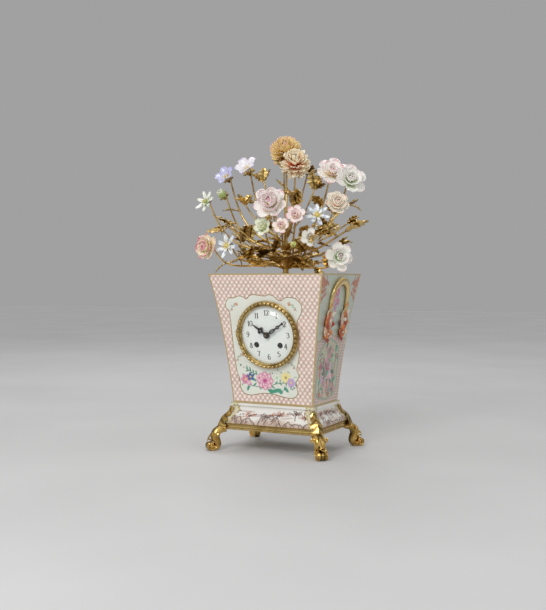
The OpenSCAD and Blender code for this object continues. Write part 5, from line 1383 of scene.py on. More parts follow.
    def build(self) -> None:
        """The foot, set out of each corner and mirrored from corner to corner."""
        shape = self.shape()
        corners = {"front_left": (-1, -1), "front_right": (1, -1), "back_left": (-1, 1),
            "back_right": (1, 1)}
        for name, (sx, sy) in corners.items():
            foot = Clay()
            foot.add(shape, lambda p: self.at_corner(p, sx, sy))
            foot.piece(f"scroll_foot_{name}", GILT, "case", "gilt_bronze", [f"foot_{name}"])

    def at_corner(self, points: Array, sx: int, sy: int) -> Array:
        """Points of the foot's frame set at the corner on the sides that sx and sy name.

        Args:
            points: points of the foot's frame.
            sx, sy: sides of the corner, -1 or 1.

        Returns:
            The moved points.
        """
        x, y, z = points.T
        half = math.sqrt(0.5)
        return np.stack([sx * (self.corner[0] + (x - y) * half), sy * (self.corner[1] + (x + y) * half),
            np.maximum(z, 0.03)], -1)


@dataclass
class Handles:
    """The side handles: a gilt strap bent to an arch, and on each of its ends a moulded scroll of
    porcelain in iron red, orange and white."""

    arch_z: float = 215.6
    arch_r: float = 26.6
    leg_z: float = 197.0
    # Middle line of the main scroll, for the end on the +Y side: along the wall and height
    scroll: Outline = ((26.5, 200), (29.5, 194), (31.5, 187), (30.5, 179.5), (26.5, 175), (22.6, 177),
        (22.8, 181.2), (25.6, 181.6))
    lower: Outline = ((27.5, 184), (31, 177), (31.5, 170), (27.5, 164.6), (22.6, 165.2), (20.6, 169.4),
        (23, 172), (25.2, 170))
    inner: Outline = ((25, 197), (21.6, 191), (19.6, 184), (19.8, 177.5), (23, 173.8))

    def on_side(self, points: Array, side: int) -> Array:
        """Points (along the wall, height, out of the wall) set on one of the vase's sides.

        Args:
            points: the points.
            side: -1 for the left side, 1 for the right.

        Returns:
            Points of the clock's frame.
        """
        y, z, out = np.moveaxis(points, -1, 0)
        vase = Vase()
        wall = vase.half(0, np.clip((z - vase.foot_z) / vase.height, 0, 1)) + 0.2
        c, s = math.cos(LEAN.angle), math.sin(LEAN.angle)
        return np.stack([side * (wall + out * c), y, z - out * s], -1)

    def strap(self) -> Clay:
        """The arch: half a circle on two straight legs, broad at its crown and narrow below.

        Returns:
            The strap's surfaces, flat against a wall.
        """
        angle = np.linspace(0, np.pi, 41)
        top = np.stack([self.arch_r * np.cos(angle), self.arch_z + self.arch_r * np.sin(angle)], -1)
        legs = np.linspace(self.leg_z, self.arch_z, 9)[:-1]
        right = np.stack([np.full(8, self.arch_r), legs], -1)
        flat = np.vstack([right, top, (right * [-1, 1])[::-1]])
        crown = np.clip((flat[:, 1] - self.leg_z) / (self.arch_z + self.arch_r - self.leg_z), 0, 1)
        lift = 1.6 + 1.6 * crown
        path = np.column_stack([flat, lift])
        broad = 2.8 + 2.6 * crown**1.5
        clay = Clay()
        clay.round(tube(path, broad, 18, 0.62, (0, 0, 1)))
        for edge in (-1, 1):
            way = unit(np.gradient(flat, axis=0))
            beside = flat + edge * np.stack([-way[:, 1], way[:, 0]], -1) * (broad[:, None] * 0.78)
            clay.round(tube(np.column_stack([beside, lift + 1.0]), 0.75, 8))
        knop = np.linspace(-1, 1, 9)
        top, swell = self.arch_z + self.arch_r, 1 - knop**2
        crest = np.column_stack([7.5 * knop, np.full(9, top), 3.6 + 0.9 * swell])
        clay.round(tube(crest, 1.0 + 2.0 * swell, 12, 0.6, (0, 0, 1)), 0.8)
        return clay

    def scrolls(self) -> Clay:
        """Three curled ribs, leaves and small blossoms in relief at both ends of the strap.

        Returns:
            Both ends' surfaces, flat against a wall.
        """
        clay = Clay()
        orange, red, white = srgb(232, 140, 62), srgb(168, 58, 34), srgb(232, 222, 204)
        ribs = ((self.scroll, 4.0, ((0, orange), (0.4, red), (0.75, orange), (1, white)), 1.8),
            (self.lower, 3.4, ((0, white), (0.35, orange), (0.7, red), (1, orange)), 1.3),
            (self.inner, 3.0, ((0, orange), (0.5, white), (1, red)), 1.2))
        for end in (-1, 1):
            for line, size, stops, lift in ribs:
                flat = smooth_line(line, 44) * [end, 1]
                share = np.linspace(0, 1, 44)
                path = np.column_stack([flat, lift + 1.1 * np.sin(np.pi * share)])
                thick = size * (0.7 + 0.5 * np.sin(np.pi * share**0.8)) * (1 - 0.35 * share)
                grid = tube(path, thick, 14, 0.8, (0, 0, 1))
                tint = ramp(np.concatenate([[0], share, [1]]), stops)
                ring = 0.86 + 0.14 * np.cos(3 * angles(14))
                clay.round(grid, tint[:, None] * ring[None, :, None])
            for y, z, turn, length, width, tint, deep in ((26, 202, 1.35, 10, 8, orange, red),
                    (29, 196, 0.5, 11, 7, white, orange), (22, 194, 2.7, 11, 7, white, red),
                    (31, 184, -0.1, 9.5, 7, orange, red), (19.5, 183, 3.3, 10, 7, red, orange),
                    (31, 172, -0.4, 9, 7, white, orange), (25, 165, -1.7, 9.5, 8, red, orange),
                    (20.5, 172, 3.5, 9, 6.5, orange, white)):
                grid = placed(lobed(length, width, 2.5, 0.7, 0.35), (end * y, z, 1.2),
                    (end * math.cos(turn), math.sin(turn), 0.12), (0, 0, 1))
                share = np.linspace(0, 1, grid.shape[0])
                tones = ramp(share, ((0, deep), (0.45, tint), (1, tint)))[None, :, None]
                clay.slabs(grid[None], 1.1, tones)
            for y, z, r, tone in ((26.5, 187.5, 3.0, white), (25.5, 178, 1.9, orange),
                    (25.5, 169, 1.7, white)):
                dome = lathe([(0, 1.0), (0.5, 0.86), (0.86, 0.5), (1, 0), (0.9, -0.6), (0, -0.6)], 20)
                dome = dome * [r, r, r * 0.8]
                clay.round(dome + [end * y, z, 4.2], tone)
        return clay

    def build(self) -> None:
        """Both handles; the strap stands for the part's own handle."""
        strap, scrolls = self.strap(), self.scrolls()
        for name, side in (("left", -1), ("right", 1)):
            for title, shape, finish, nodes in (("strap", strap, HANDLE_GILT, [f"handle_{name}"]),
                    ("scrolls", scrolls, HANDLE_GLAZE, [])):
                clay = Clay()
                clay.add(shape, lambda p: self.on_side(p, side))
                clay.piece(f"handle_{title}_{name}", finish, "case", "handle_gilding", nodes)


@dataclass
class Bezel:
    """The hinged door of the dial: a ribbed gilt ring, its hinge knuckles and the domed glass."""

    ribs: int = 44
    low: float = 3.3
    # The ring's outline from its outer foot over the roll to its inner lip: radius and height over the foot
    outline: Outline = ((48, 0), (48, 1.5), (47.7, 2.0), (47.1, 2.2), (46.9, 2.5), (47.3, 3.1), (47.3, 4.0),
        (46.9, 5.1), (46.1, 6.1), (45.2, 6.6), (44.3, 6.5), (43.6, 5.9), (43.1, 5.0), (42.8, 4.2),
        (42.4, 4.0), (42.1, 4.3), (41.6, 4.3), (41.2, 3.8), (40.9, 3.0), (40.6, 2.4), (40.5, 1.9),
        (40.5, 1.1), (42.2, 0.6), (44, 0), (48, 0))
    hinge: Pair = (-49.7, 2.4)
    # Middle of the roll, points to a rib, and width of a notch as a share of it
    roll: Pair = (45.0, 3.8)
    samples: int = 14
    notch: float = 0.13
    # The glass: radius and rise of its outer and its inner dome, radius and height of its foot
    domes: tuple[Pair, Pair] = ((40.3, 10.3), (39.1, 10.1))
    glass_foot: Pair = (41.9, 1.0)

    def ring(self) -> Clay:
        """The outline turned once round; between its two grooves the roll is cut into ribs by narrow
        notches whose depth falls off like a bell curve to both sides.

        Returns:
            The ring and its hinge knuckles.
        """
        p = np.asarray(self.outline, float)
        grid = lathe(p + [0, self.low], self.ribs * self.samples)
        turn = np.linspace(0, self.ribs, self.ribs * self.samples, endpoint=False) % 1
        notch = np.exp(-(((turn - 0.5) / self.notch) ** 2))
        swell = 0.125 * np.cos(2 * np.pi * turn)
        middle = np.array([self.roll[0], self.roll[1] + self.low])
        on_roll = np.zeros(len(p))
        on_roll[5:13] = (0.6, 0.9, 1, 1, 1, 1, 0.9, 0.6)
        outward = unit(p + [0, self.low] - middle)
        off = (on_roll[:, None] * (swell - notch)[None])[..., None] * outward[:, None]
        around = unit(grid * [1, 1, 0])
        grid = grid + off[..., :1] * around + off[..., 1:] * [0, 0, 1]
        # Painted shade: dark in the notches between the ribs and in the grooves on both sides of the roll
        shade = 1 - 0.95 * on_roll[:, None] * notch[None]
        for row in (3, 4, 13, 14):
            shade[row] = 0.25
        clay = Clay()
        clay.round(LEAN.on_dial(grid), shade[..., None])
        for side in (-1, 1):
            y = np.linspace(2.5, 5.0, 6)[:, None] * side
            path = np.concatenate([np.full((6, 1), self.hinge[0]), y, np.full((6, 1), self.hinge[1])], -1)
            clay.round(LEAN.on_dial(tube(path, 1.6, 16, 1.0, (0, 0, 1))), 0.9)
            arm = np.array([[self.hinge[0], 3.75 * side, self.hinge[1] + 0.5], [-47, 3.75 * side, 3.9]])
            clay.round(LEAN.on_dial(tube(arm, np.array([1.1, 1.1]), 8, 1.0, (0, 1, 0))), 0.9)
        return clay

    def glass(self) -> Clay:
        """Two domes 1.2 mm apart: at angle a the radius is r times the root of cos a, the height
        rise times sin a.

        Returns:
            The closed glass.
        """
        a = np.radians(np.linspace(0, 90, 24))
        share, height = np.sqrt(np.clip(np.cos(a), 0, 1)), np.sin(a)
        outer, inner = (np.stack([r * share, rise * height], -1) for r, rise in self.domes)
        foot_r, foot_z = self.glass_foot
        outer = outer + [0, foot_z]
        inner = inner[::-1]
        outer[-1, 0] = inner[0, 0] = 0
        profile = np.vstack([[(self.domes[1][0], 0), (foot_r, 0), (foot_r, foot_z)], outer, inner])
        clay = Clay()
        clay.round(LEAN.on_dial(lathe(profile + [0, self.low], 96)))
        return clay

    def build(self) -> None:
        """Ring and glass, both on the door's body."""
        self.ring().piece("bezel_door_ribbed", BEZEL_GILT, "bezel_door", "gilt_bronze", ["bezel_door"])
        self.glass().piece("bezel_glass_dome", GLASS, "bezel_door", "clear_glass", ["bezel_glass"])


# The dial


# Strokes of each digit in a box 0.6 wide and 1 high; two points make a straight stroke
DIGITS: dict[str, tuple[Outline, ...]] = {
    "0": (((0.3, 1), (0.54, 0.78), (0.54, 0.22), (0.3, 0), (0.06, 0.22), (0.06, 0.78), (0.3, 1)),),
    "1": (((0.12, 0.8), (0.22, 0.86), (0.3, 1)), ((0.3, 1), (0.3, 0)), ((0.14, 0), (0.46, 0))),
    "2": (((0.08, 0.76), (0.12, 0.92), (0.3, 1), (0.5, 0.9), (0.5, 0.7), (0.34, 0.42), (0.08, 0.04)),
          ((0.06, 0.04), (0.2, 0.09), (0.38, 0.02), (0.54, 0.16))),
    "3": (((0.08, 0.84), (0.28, 1), (0.5, 0.86), (0.44, 0.62), (0.26, 0.55)),
          ((0.26, 0.55), (0.5, 0.48), (0.56, 0.26), (0.42, 0.04), (0.2, 0), (0.06, 0.14))),
    "4": (((0.42, 1), (0.04, 0.3)), ((0.04, 0.3), (0.58, 0.3)), ((0.42, 1), (0.42, 0)),
        ((0.28, 0), (0.54, 0))),
    "5": (((0.14, 1), (0.5, 1)), ((0.14, 1), (0.12, 0.56)),
          ((0.12, 0.56), (0.3, 0.64), (0.52, 0.52), (0.54, 0.22), (0.36, 0.02), (0.16, 0.02), (0.06, 0.14))),
    "6": (((0.5, 0.9), (0.34, 1), (0.14, 0.78), (0.07, 0.4), (0.14, 0.1), (0.32, 0), (0.5, 0.12),
        (0.54, 0.34),
           (0.42, 0.56), (0.24, 0.58), (0.1, 0.4)),),
    "7": (((0.08, 0.86), (0.1, 0.98), (0.54, 0.98)), ((0.54, 0.98), (0.36, 0.56), (0.26, 0))),
    "8": (((0.3, 1), (0.46, 0.78), (0.3, 0.53), (0.13, 0.78), (0.3, 1)),
          ((0.3, 0.53), (0.53, 0.27), (0.3, 0), (0.07, 0.27), (0.3, 0.53))),
    "9": (((0.1, 0.1), (0.26, 0), (0.46, 0.22), (0.53, 0.6), (0.46, 0.9), (0.28, 1), (0.1, 0.88),
        (0.06, 0.66),
           (0.18, 0.44), (0.36, 0.42), (0.5, 0.6)),)}


@dataclass
class Dial:
    """The enamel dial's numerals, which lie on its shallow dome, and the two hands."""

    numeral_r: float = 31.3
    numeral_h: float = 7.4
    edge_r: float = 41.7
    # Height of the dome's middle, and how much lower its edge lies
    dome: Pair = (4.0, 1.6)
    # Height of each hand, and its angle clockwise from 12, in degrees
    hour_z: float = 6.5
    minute_z: float = 8.3
    hour_angle: float = 305
    minute_angle: float = 57

    def on_dome(self, flat: Array, lift: float) -> Array:
        """Points of the dial's plane raised on its dome, which falls with the square of the radius."""
        share = (flat**2).sum(-1) / self.edge_r**2
        return np.concatenate([flat, (self.dome[0] - self.dome[1] * share + lift)[..., None]], -1)

    def stroke(self, points: Points, middle: Array) -> Array:
        """A pen stroke: broad where it runs up or down, thin where it runs across.

        Args:
            points: corners of the stroke.
            middle: middle of the digit's box.

        Returns:
            The stroke's grid on the dome.
        """
        path = smooth_line(points, 26) if len(points) > 2 else np.linspace(points[0], points[1], 26)
        way = unit(np.gradient(path, axis=0))
        wide = 0.075 + 0.1 * way[:, 1] ** 2
        across = np.stack([-way[:, 1], way[:, 0]], -1) * wide[:, None] / 2
        sides = np.stack([path - across, path, path + across], 1)
        return self.on_dome((sides - [0, 0.5]) * self.numeral_h + middle, 0.08)

    def numerals(self) -> Clay:
        """1 to 12, upright, their middles on a circle.

        Returns:
            All strokes.
        """
        clay = Clay()
        for hour in range(1, 13):
            angle = math.radians(30 * hour)
            middle = self.numeral_r * np.array([math.sin(angle), math.cos(angle)])
            text = str(hour)
            widths = [0.46 if d == "1" else 0.62 for d in text]
            left = -sum(widths) / 2
            for digit, width in zip(text, widths):
                shift = (left + (width - 0.6) / 2) * self.numeral_h
                for points in DIGITS[digit]:
                    grid = self.stroke(points, middle + [shift, 0])
                    clay.slabs(LEAN.on_dial(grid)[None], 0.12, 0.1)
                left += width
        return clay

    @staticmethod
    def washer(middle: Point, outer: Point, inner: Point, z: float) -> Array:
        """A flat oval ring with a square section, closed on itself.

        Args:
            middle: its middle on the dial.
            outer, inner: half widths of both edges.
            z: its height.

        Returns:
            The ring's grid.
        """
        turn = np.linspace(0, 2 * np.pi, 49)
        rim = np.stack([np.sin(turn), np.cos(turn)], -1)
        corners = [(inner, -0.3), (outer, -0.3), (outer, 0.3), (inner, 0.3)]
        parts = [np.column_stack([rim * size + middle, np.full(49, z + high)]) for size, high in corners]
        return np.stack(parts, 1)

    @staticmethod
    def blade(widths: Points, z: float) -> Array:
        """A flat blade along Y: half its width is read off (place, half width) pairs.

        Args:
            widths: the pairs, from the foot to the tip.
            z: its height.

        Returns:
            The blade's grid.
        """
        y = np.linspace(widths[0][0], widths[-1][0], 60)
        half = np.interp(y, *zip(*widths))
        x = half[:, None] * np.linspace(-1, 1, 3)
        return np.stack([x, np.repeat(y[:, None], 3, 1), np.full((60, 3), z)], -1)

    def hand(self, parts: Sequence[Array], blades: Sequence[Array], angle: float) -> Clay:
        """Rings and blades turned clockwise by an angle, in degrees.

        Args:
            parts: grids of rings.
            blades: grids of blades.
            angle: the turn.

        Returns:
            The hand's surfaces.
        """
        turn = math.radians(angle)
        c, s = math.cos(turn), math.sin(turn)
        turning = np.array([[c, -s, 0], [s, c, 0], [0, 0, 1]])
        clay = Clay()
        for part in parts:
            clay.round(LEAN.on_dial(part @ turning))
        for blade in blades:
            clay.slabs(LEAN.on_dial(blade @ turning)[None], 0.6, (1, 1, 1))
        return clay

    def build(self) -> None:
        """Numerals on the case; each hand on the body of its arbor."""
        self.numerals().piece("dial_numerals", NUMERAL_INK, "case", "dark_bronze")
        z = self.hour_z
        hour = self.hand([self.washer((0, 0), (4.6, 4.6), (2.3, 2.3), z),
            self.washer((0, 11.3), (3.2, 4.0), (1.1, 1.7), z),
            self.washer((-3.0, 11.6), (2.3, 2.3), (0.5, 0.5), z),
            self.washer((3.0, 11.6), (2.3, 2.3), (0.5, 0.5), z)],
            [self.blade([(2.6, 1.6), (5, 2.0), (6.4, 1.3), (8.2, 2.0)], z),
            self.blade([(14.2, 2.1), (16, 1.3), (19, 1.5), (23, 1.0), (26, 0.2)], z)], self.hour_angle)
        hour.piece("hour_hand_pierced", HAND_BRONZE, "hour_pipe", "dark_bronze", ["hour_hand"])
        z = self.minute_z
        minute = self.hand([self.washer((0, 0), (4.2, 4.2), (1.5, 1.5), z),
            self.washer((0, 11.3), (2.8, 5.4), (1.2, 3.6), z),
            self.washer((0, 22), (2.5, 2.7), (0.6, 0.7), z)], [self.blade([(2.4, 1.8), (4.4, 1.5),
            (5.6, 1.1), (6.4, 1.6)], z), self.blade([(7.2, 0.5), (11.3, 0.7), (15.4, 0.5)], z),
            self.blade([(16, 1.6), (17, 1.1), (20, 1.3)], z), self.blade([(24, 1.6), (25, 1.0), (30, 1.0),
            (30.4, 2.1), (31.6, 2.1), (32, 0.7), (34, 0.2)], z)], self.minute_angle)
        minute.piece("minute_hand_pierced", HAND_BRONZE, "going_centre", "dark_bronze", ["minute_hand"])


# The bouquet


@dataclass(frozen=True)
class Layer:
    """One ring of equal petals; lengths are shares of the flower's radius."""

    count: int
    length: float
    width: float
    rise: Pair
    base: float = 0.08
    lift: float = 0.0
    cup: float = 0.2
    ruffle: float = 0.0
    blunt: float = 4.0

    def petals(self, radius: float, turn: float, rng: np.random.Generator) -> tuple[Array, Array]:
        """The petals and, for each of their points, how far out it lies.

        The middle line rises by rise[0] at its foot and by rise[1] at its tip, in degrees. The
        half width grows like a root and closes as 1 - s**blunt; the sides rise with the square
        of the distance from the middle, and the edge waves.

        Args:
            radius: the flower's radius.
            turn: angle of the first petal.
            rng: gives each petal its small difference.

        Returns:
            The points, (petals, rows, columns, 3), and the share of the way out.
        """
        n = self.count
        s = (1 - (1 - np.linspace(0, 1, 9)) ** 1.25)[None, :, None]
        v = np.linspace(-1, 1, 7)[None, None]
        vary = rng.normal(0, 1, (4, n, 1, 1))
        rise = np.radians(self.rise[0] + (self.rise[1] - self.rise[0]) * s + 4 * vary[0])
        length = self.length * (1 + 0.04 * vary[1])
        mid = (rise[:, 1:] + rise[:, :-1]) / 2
        steps = np.diff(s, axis=1) * length
        zero = np.zeros((n, 1, 1))
        out = self.base + np.concatenate([zero, np.cumsum(steps * np.cos(mid), 1)], 1)
        high = self.lift + np.concatenate([zero, np.cumsum(steps * np.sin(mid), 1)], 1)
        half = self.width / 2 * np.sqrt(s + 0.06) * np.sqrt(1.02 - s**self.blunt)
        wave = self.ruffle * np.sin(7.5 * v + 6 * vary[2]) * s**2
        off = self.cup * half * v**2 + wave * self.width
        angle = turn + 2 * np.pi * np.arange(n)[:, None, None] / n + 0.07 * vary[3]
        along = out - np.sin(rise) * off
        beside = v * half
        xyz = np.stack([along * np.cos(angle) - beside * np.sin(angle),
            along * np.sin(angle) + beside * np.cos(angle), high + np.cos(rise) * off], -1)
        far = np.clip(np.maximum(s, 0.9 * v**2 * np.sqrt(s)), 0, 1)
        return xyz * radius, np.broadcast_to(far, xyz.shape[:3])


# Reach of the bouquet to a side, its height over the vase's rim, the rim's height, the widest
# flower's radius, and the point that all flowers look away from
SPREAD, TALL, RIM_Z = 120.0, 190.0, 252.0
WIDEST = 30.0
CENTRE = np.array([0, 42, 274.8])


class Kind(Enum):
    """The kinds of flower, by the name of the part's node that holds them."""

    MUM = "flowers_chrysanthemum"
    PEONY = "flowers_peony"
    RANUNCULUS = "flowers_ranunculus"
    STAR = "flowers_star"
    BELL = "flowers_bell"
    SMALL = "flowers_small"
    BUD = "flower_buds"


LAYERS: dict[Kind, tuple[Layer, ...]] = {
    Kind.MUM: (Layer(22, 0.78, 0.24, (-62, 4), 0.1, -0.1, 0.5, blunt=8),
        Layer(24, 0.88, 0.24, (-34, 26), 0.08, -0.04, 0.5, blunt=8),
               Layer(24, 0.9, 0.24, (-6, 44), 0.08, 0.02, 0.5, blunt=8),
                   Layer(22, 0.88, 0.23, (18, 62), 0.08, 0.06, 0.5, blunt=8),
               Layer(18, 0.84, 0.22, (38, 82), 0.08, 0.1, 0.5, blunt=8),
                   Layer(13, 0.78, 0.21, (56, 104), 0.07, 0.12, 0.5, blunt=8),
               Layer(8, 0.72, 0.18, (72, 116), 0.04, 0.12, 0.5, blunt=8)),
    Kind.PEONY: (Layer(7, 0.88, 0.8, (-6, 38), cup=0.3, ruffle=0.035),
        Layer(7, 0.78, 0.72, (16, 66), 0.08, 0.05, 0.3, 0.04),
                 Layer(7, 0.66, 0.6, (34, 92), 0.08, 0.08, 0.3, 0.05),
                     Layer(6, 0.54, 0.5, (52, 112), 0.07, 0.1, 0.3, 0.05),
                 Layer(5, 0.42, 0.38, (66, 128), 0.05, 0.12, 0.3, 0.05)),
    Kind.RANUNCULUS: (Layer(6, 0.9, 0.92, (-4, 30), cup=0.25, ruffle=0.015),
        Layer(6, 0.72, 0.78, (20, 64), 0.08, 0.05, 0.3, 0.015),
                      Layer(5, 0.52, 0.62, (44, 96), 0.07, 0.08, 0.3),
                          Layer(4, 0.36, 0.44, (62, 118), 0.05, 0.1, 0.3)),
    Kind.STAR: (Layer(7, 0.92, 0.42, (2, 26), cup=0.35, blunt=2.2),
        Layer(6, 0.62, 0.34, (22, 50), 0.08, 0.05, 0.35, blunt=2.2)),
    Kind.BELL: (Layer(5, 1.02, 0.92, (70, 8), 0.1, -0.1, 0.5, 0.02, 2.6),),
    Kind.SMALL: (Layer(6, 0.9, 0.8, (4, 44), cup=0.3, ruffle=0.02),
        Layer(5, 0.66, 0.66, (34, 88), 0.08, 0.05, 0.3, 0.02),
                 Layer(4, 0.46, 0.5, (58, 112), 0.06, 0.08, 0.3)),
    Kind.BUD: (Layer(5, 0.98, 0.84, (66, 118), 0.16, -0.2, 0.5),
        Layer(4, 0.86, 0.66, (74, 112), 0.1, -0.1, 0.5))}


@dataclass(frozen=True)
class Flower:
    """One flower: its middle as shares of the bouquet's size, its radius, where its stem leaves
    the trunk, its kind and its colours from the heart to the petals' edge."""

    at: Place
    size: float
    fork: float
    kind: Kind
    heart: Tone
    body: Tone
    edge: Tone

    @property
    def place(self) -> Array:
        """Its middle in the clock's frame."""
        return np.array([SPREAD * self.at[0], SPREAD * self.at[1], RIM_Z + TALL * self.at[2]])

    @property
    def radius(self) -> float:
        """Its radius, with its petals spread."""
        return WIDEST * self.size

    @property
    def way(self) -> Array:
        """Where it looks: away from the middle of the bouquet, and a little to the front."""
        return unit(unit(self.place - CENTRE) + [0.42, -0.95, 0.05])

    def shape(self, seed: int) -> Clay:
        """Its rings of petals round the Z axis, and a heart in the open kinds.

        Args:
            seed: for the petals' differences.

        Returns:
            The flower's surfaces, looking along Z.
        """
        rng = np.random.default_rng(seed)
        clay = Clay()
        core = 0.36 if self.kind is Kind.MUM else 0.2
        heart, body, edge = (srgb(*tone) for tone in (self.heart, self.body, self.edge))
        stops = ((0, heart), (core, heart), (core + 0.25, body), (0.86, body), (1, edge))
        for k, layer in enumerate(LAYERS[self.kind]):
            xyz, far = layer.petals(self.radius, 0.7 * k + rng.uniform(0, 1), rng)
            tint = ramp(np.clip(far + 0.06 * rng.normal(size=(layer.count, 1, 1)), 0, 1), stops)
            clay.slabs(xyz, 0.55 if self.kind is Kind.MUM else 0.7, tint)
        r = self.radius
        if self.kind not in (Kind.MUM, Kind.BUD):
            size = {Kind.STAR: 0.17, Kind.BELL: 0.14}.get(self.kind, 0.15)
            dome = np.array([(0, 0.8), (0.5, 0.7), (0.85, 0.4), (1, 0), (0.8, -0.5), (0, -0.6)]) * size * r
            clay.round(lathe(dome + [0, 0.12 * r], 16), heart)
            for k in range(14):
                angle = 2.4 * k
                away = size * r * (0.5 + 0.9 * (k % 3) / 2)
                seed_at = np.array([away * math.cos(angle), away * math.sin(angle),
                    r * (0.24 + 0.05 * (k % 2))])
                seed_shape = lathe([(0, 0.6), (0.6, 0), (0, -0.6)], 6) + seed_at
                clay.round(seed_shape, srgb(214, 170, 60))
        return clay


WHITE_GLAZE: Tone = (250, 248, 242)
FLOWERS: tuple[Flower, ...] = (
    Flower((-0.04, 0.08, 0.925), 0.84, 0.3, Kind.MUM, (240, 186, 84), (252, 232, 168), (240, 196, 170)),
    Flower((0.16, -0.07, 0.815), 0.8, 0.26, Kind.MUM, (232, 104, 44), (254, 240, 206), (254, 248, 232)),
    Flower((0.52, 0.18, 0.76), 0.82, 0.22, Kind.RANUNCULUS, (240, 214, 140), (254, 250, 246),
        (238, 186, 190)),
    Flower((0.78, 0.12, 0.69), 0.84, 0.18, Kind.RANUNCULUS, (150, 186, 90), WHITE_GLAZE, (236, 214, 218)),
    Flower((0.66, 0.01, 0.515), 0.66, 0.14, Kind.PEONY, (246, 190, 140), (255, 250, 236), (248, 214, 196)),
    Flower((0.47, -0.12, 0.43), 0.58, 0.1, Kind.STAR, (226, 206, 106), (240, 246, 252), (160, 186, 216)),
    Flower((-0.01, -0.36, 0.515), 0.9, 0.16, Kind.PEONY, (240, 206, 110), (255, 250, 246), (240, 190, 198)),
    Flower((0.28, -0.31, 0.425), 0.52, 0.12, Kind.SMALL, (236, 190, 120), (254, 244, 242), (238, 160, 176)),
    Flower((0.16, -0.43, 0.345), 0.44, 0.1, Kind.SMALL, (236, 200, 80), (254, 244, 238), (240, 176, 184)),
    Flower((-0.11, -0.37, 0.345), 0.5, 0.09, Kind.SMALL, (170, 186, 72), (246, 248, 230), (224, 230, 170)),
    Flower((0.43, -0.23, 0.26), 0.52, 0.07, Kind.SMALL, (206, 202, 110), WHITE_GLAZE, (226, 222, 226)),
    Flower((0.72, -0.06, 0.125), 0.7, 0.05, Kind.RANUNCULUS, (142, 186, 78), WHITE_GLAZE, (238, 214, 210)),
    Flower((-0.73, -0.13, 0.74), 0.6, 0.2, Kind.BELL, (240, 234, 206), (204, 204, 236), (156, 160, 212)),
    Flower((-0.52, 0.01, 0.8), 0.7, 0.24, Kind.BELL, (240, 234, 206), (244, 240, 246), (200, 190, 220)),
    Flower((-0.72, -0.25, 0.6), 0.58, 0.16, Kind.BUD, (120, 160, 76), (186, 208, 136), (246, 244, 232)),
    Flower((-0.9, -0.35, 0.55), 0.58, 0.14, Kind.STAR, (160, 180, 100), (246, 248, 238), (190, 200, 176)),
    Flower((-0.87, -0.36, 0.205), 0.72, 0.06, Kind.PEONY, (244, 216, 120), (254, 240, 216), (226, 120, 150)),
    Flower((-0.62, -0.33, 0.21), 0.66, 0.08, Kind.STAR, (224, 210, 120), (244, 248, 252), (170, 188, 220)),
    Flower((0.3, -0.4, 0.21), 0.42, 0.06, Kind.BUD, (130, 150, 60), (206, 216, 110), (236, 236, 170)))


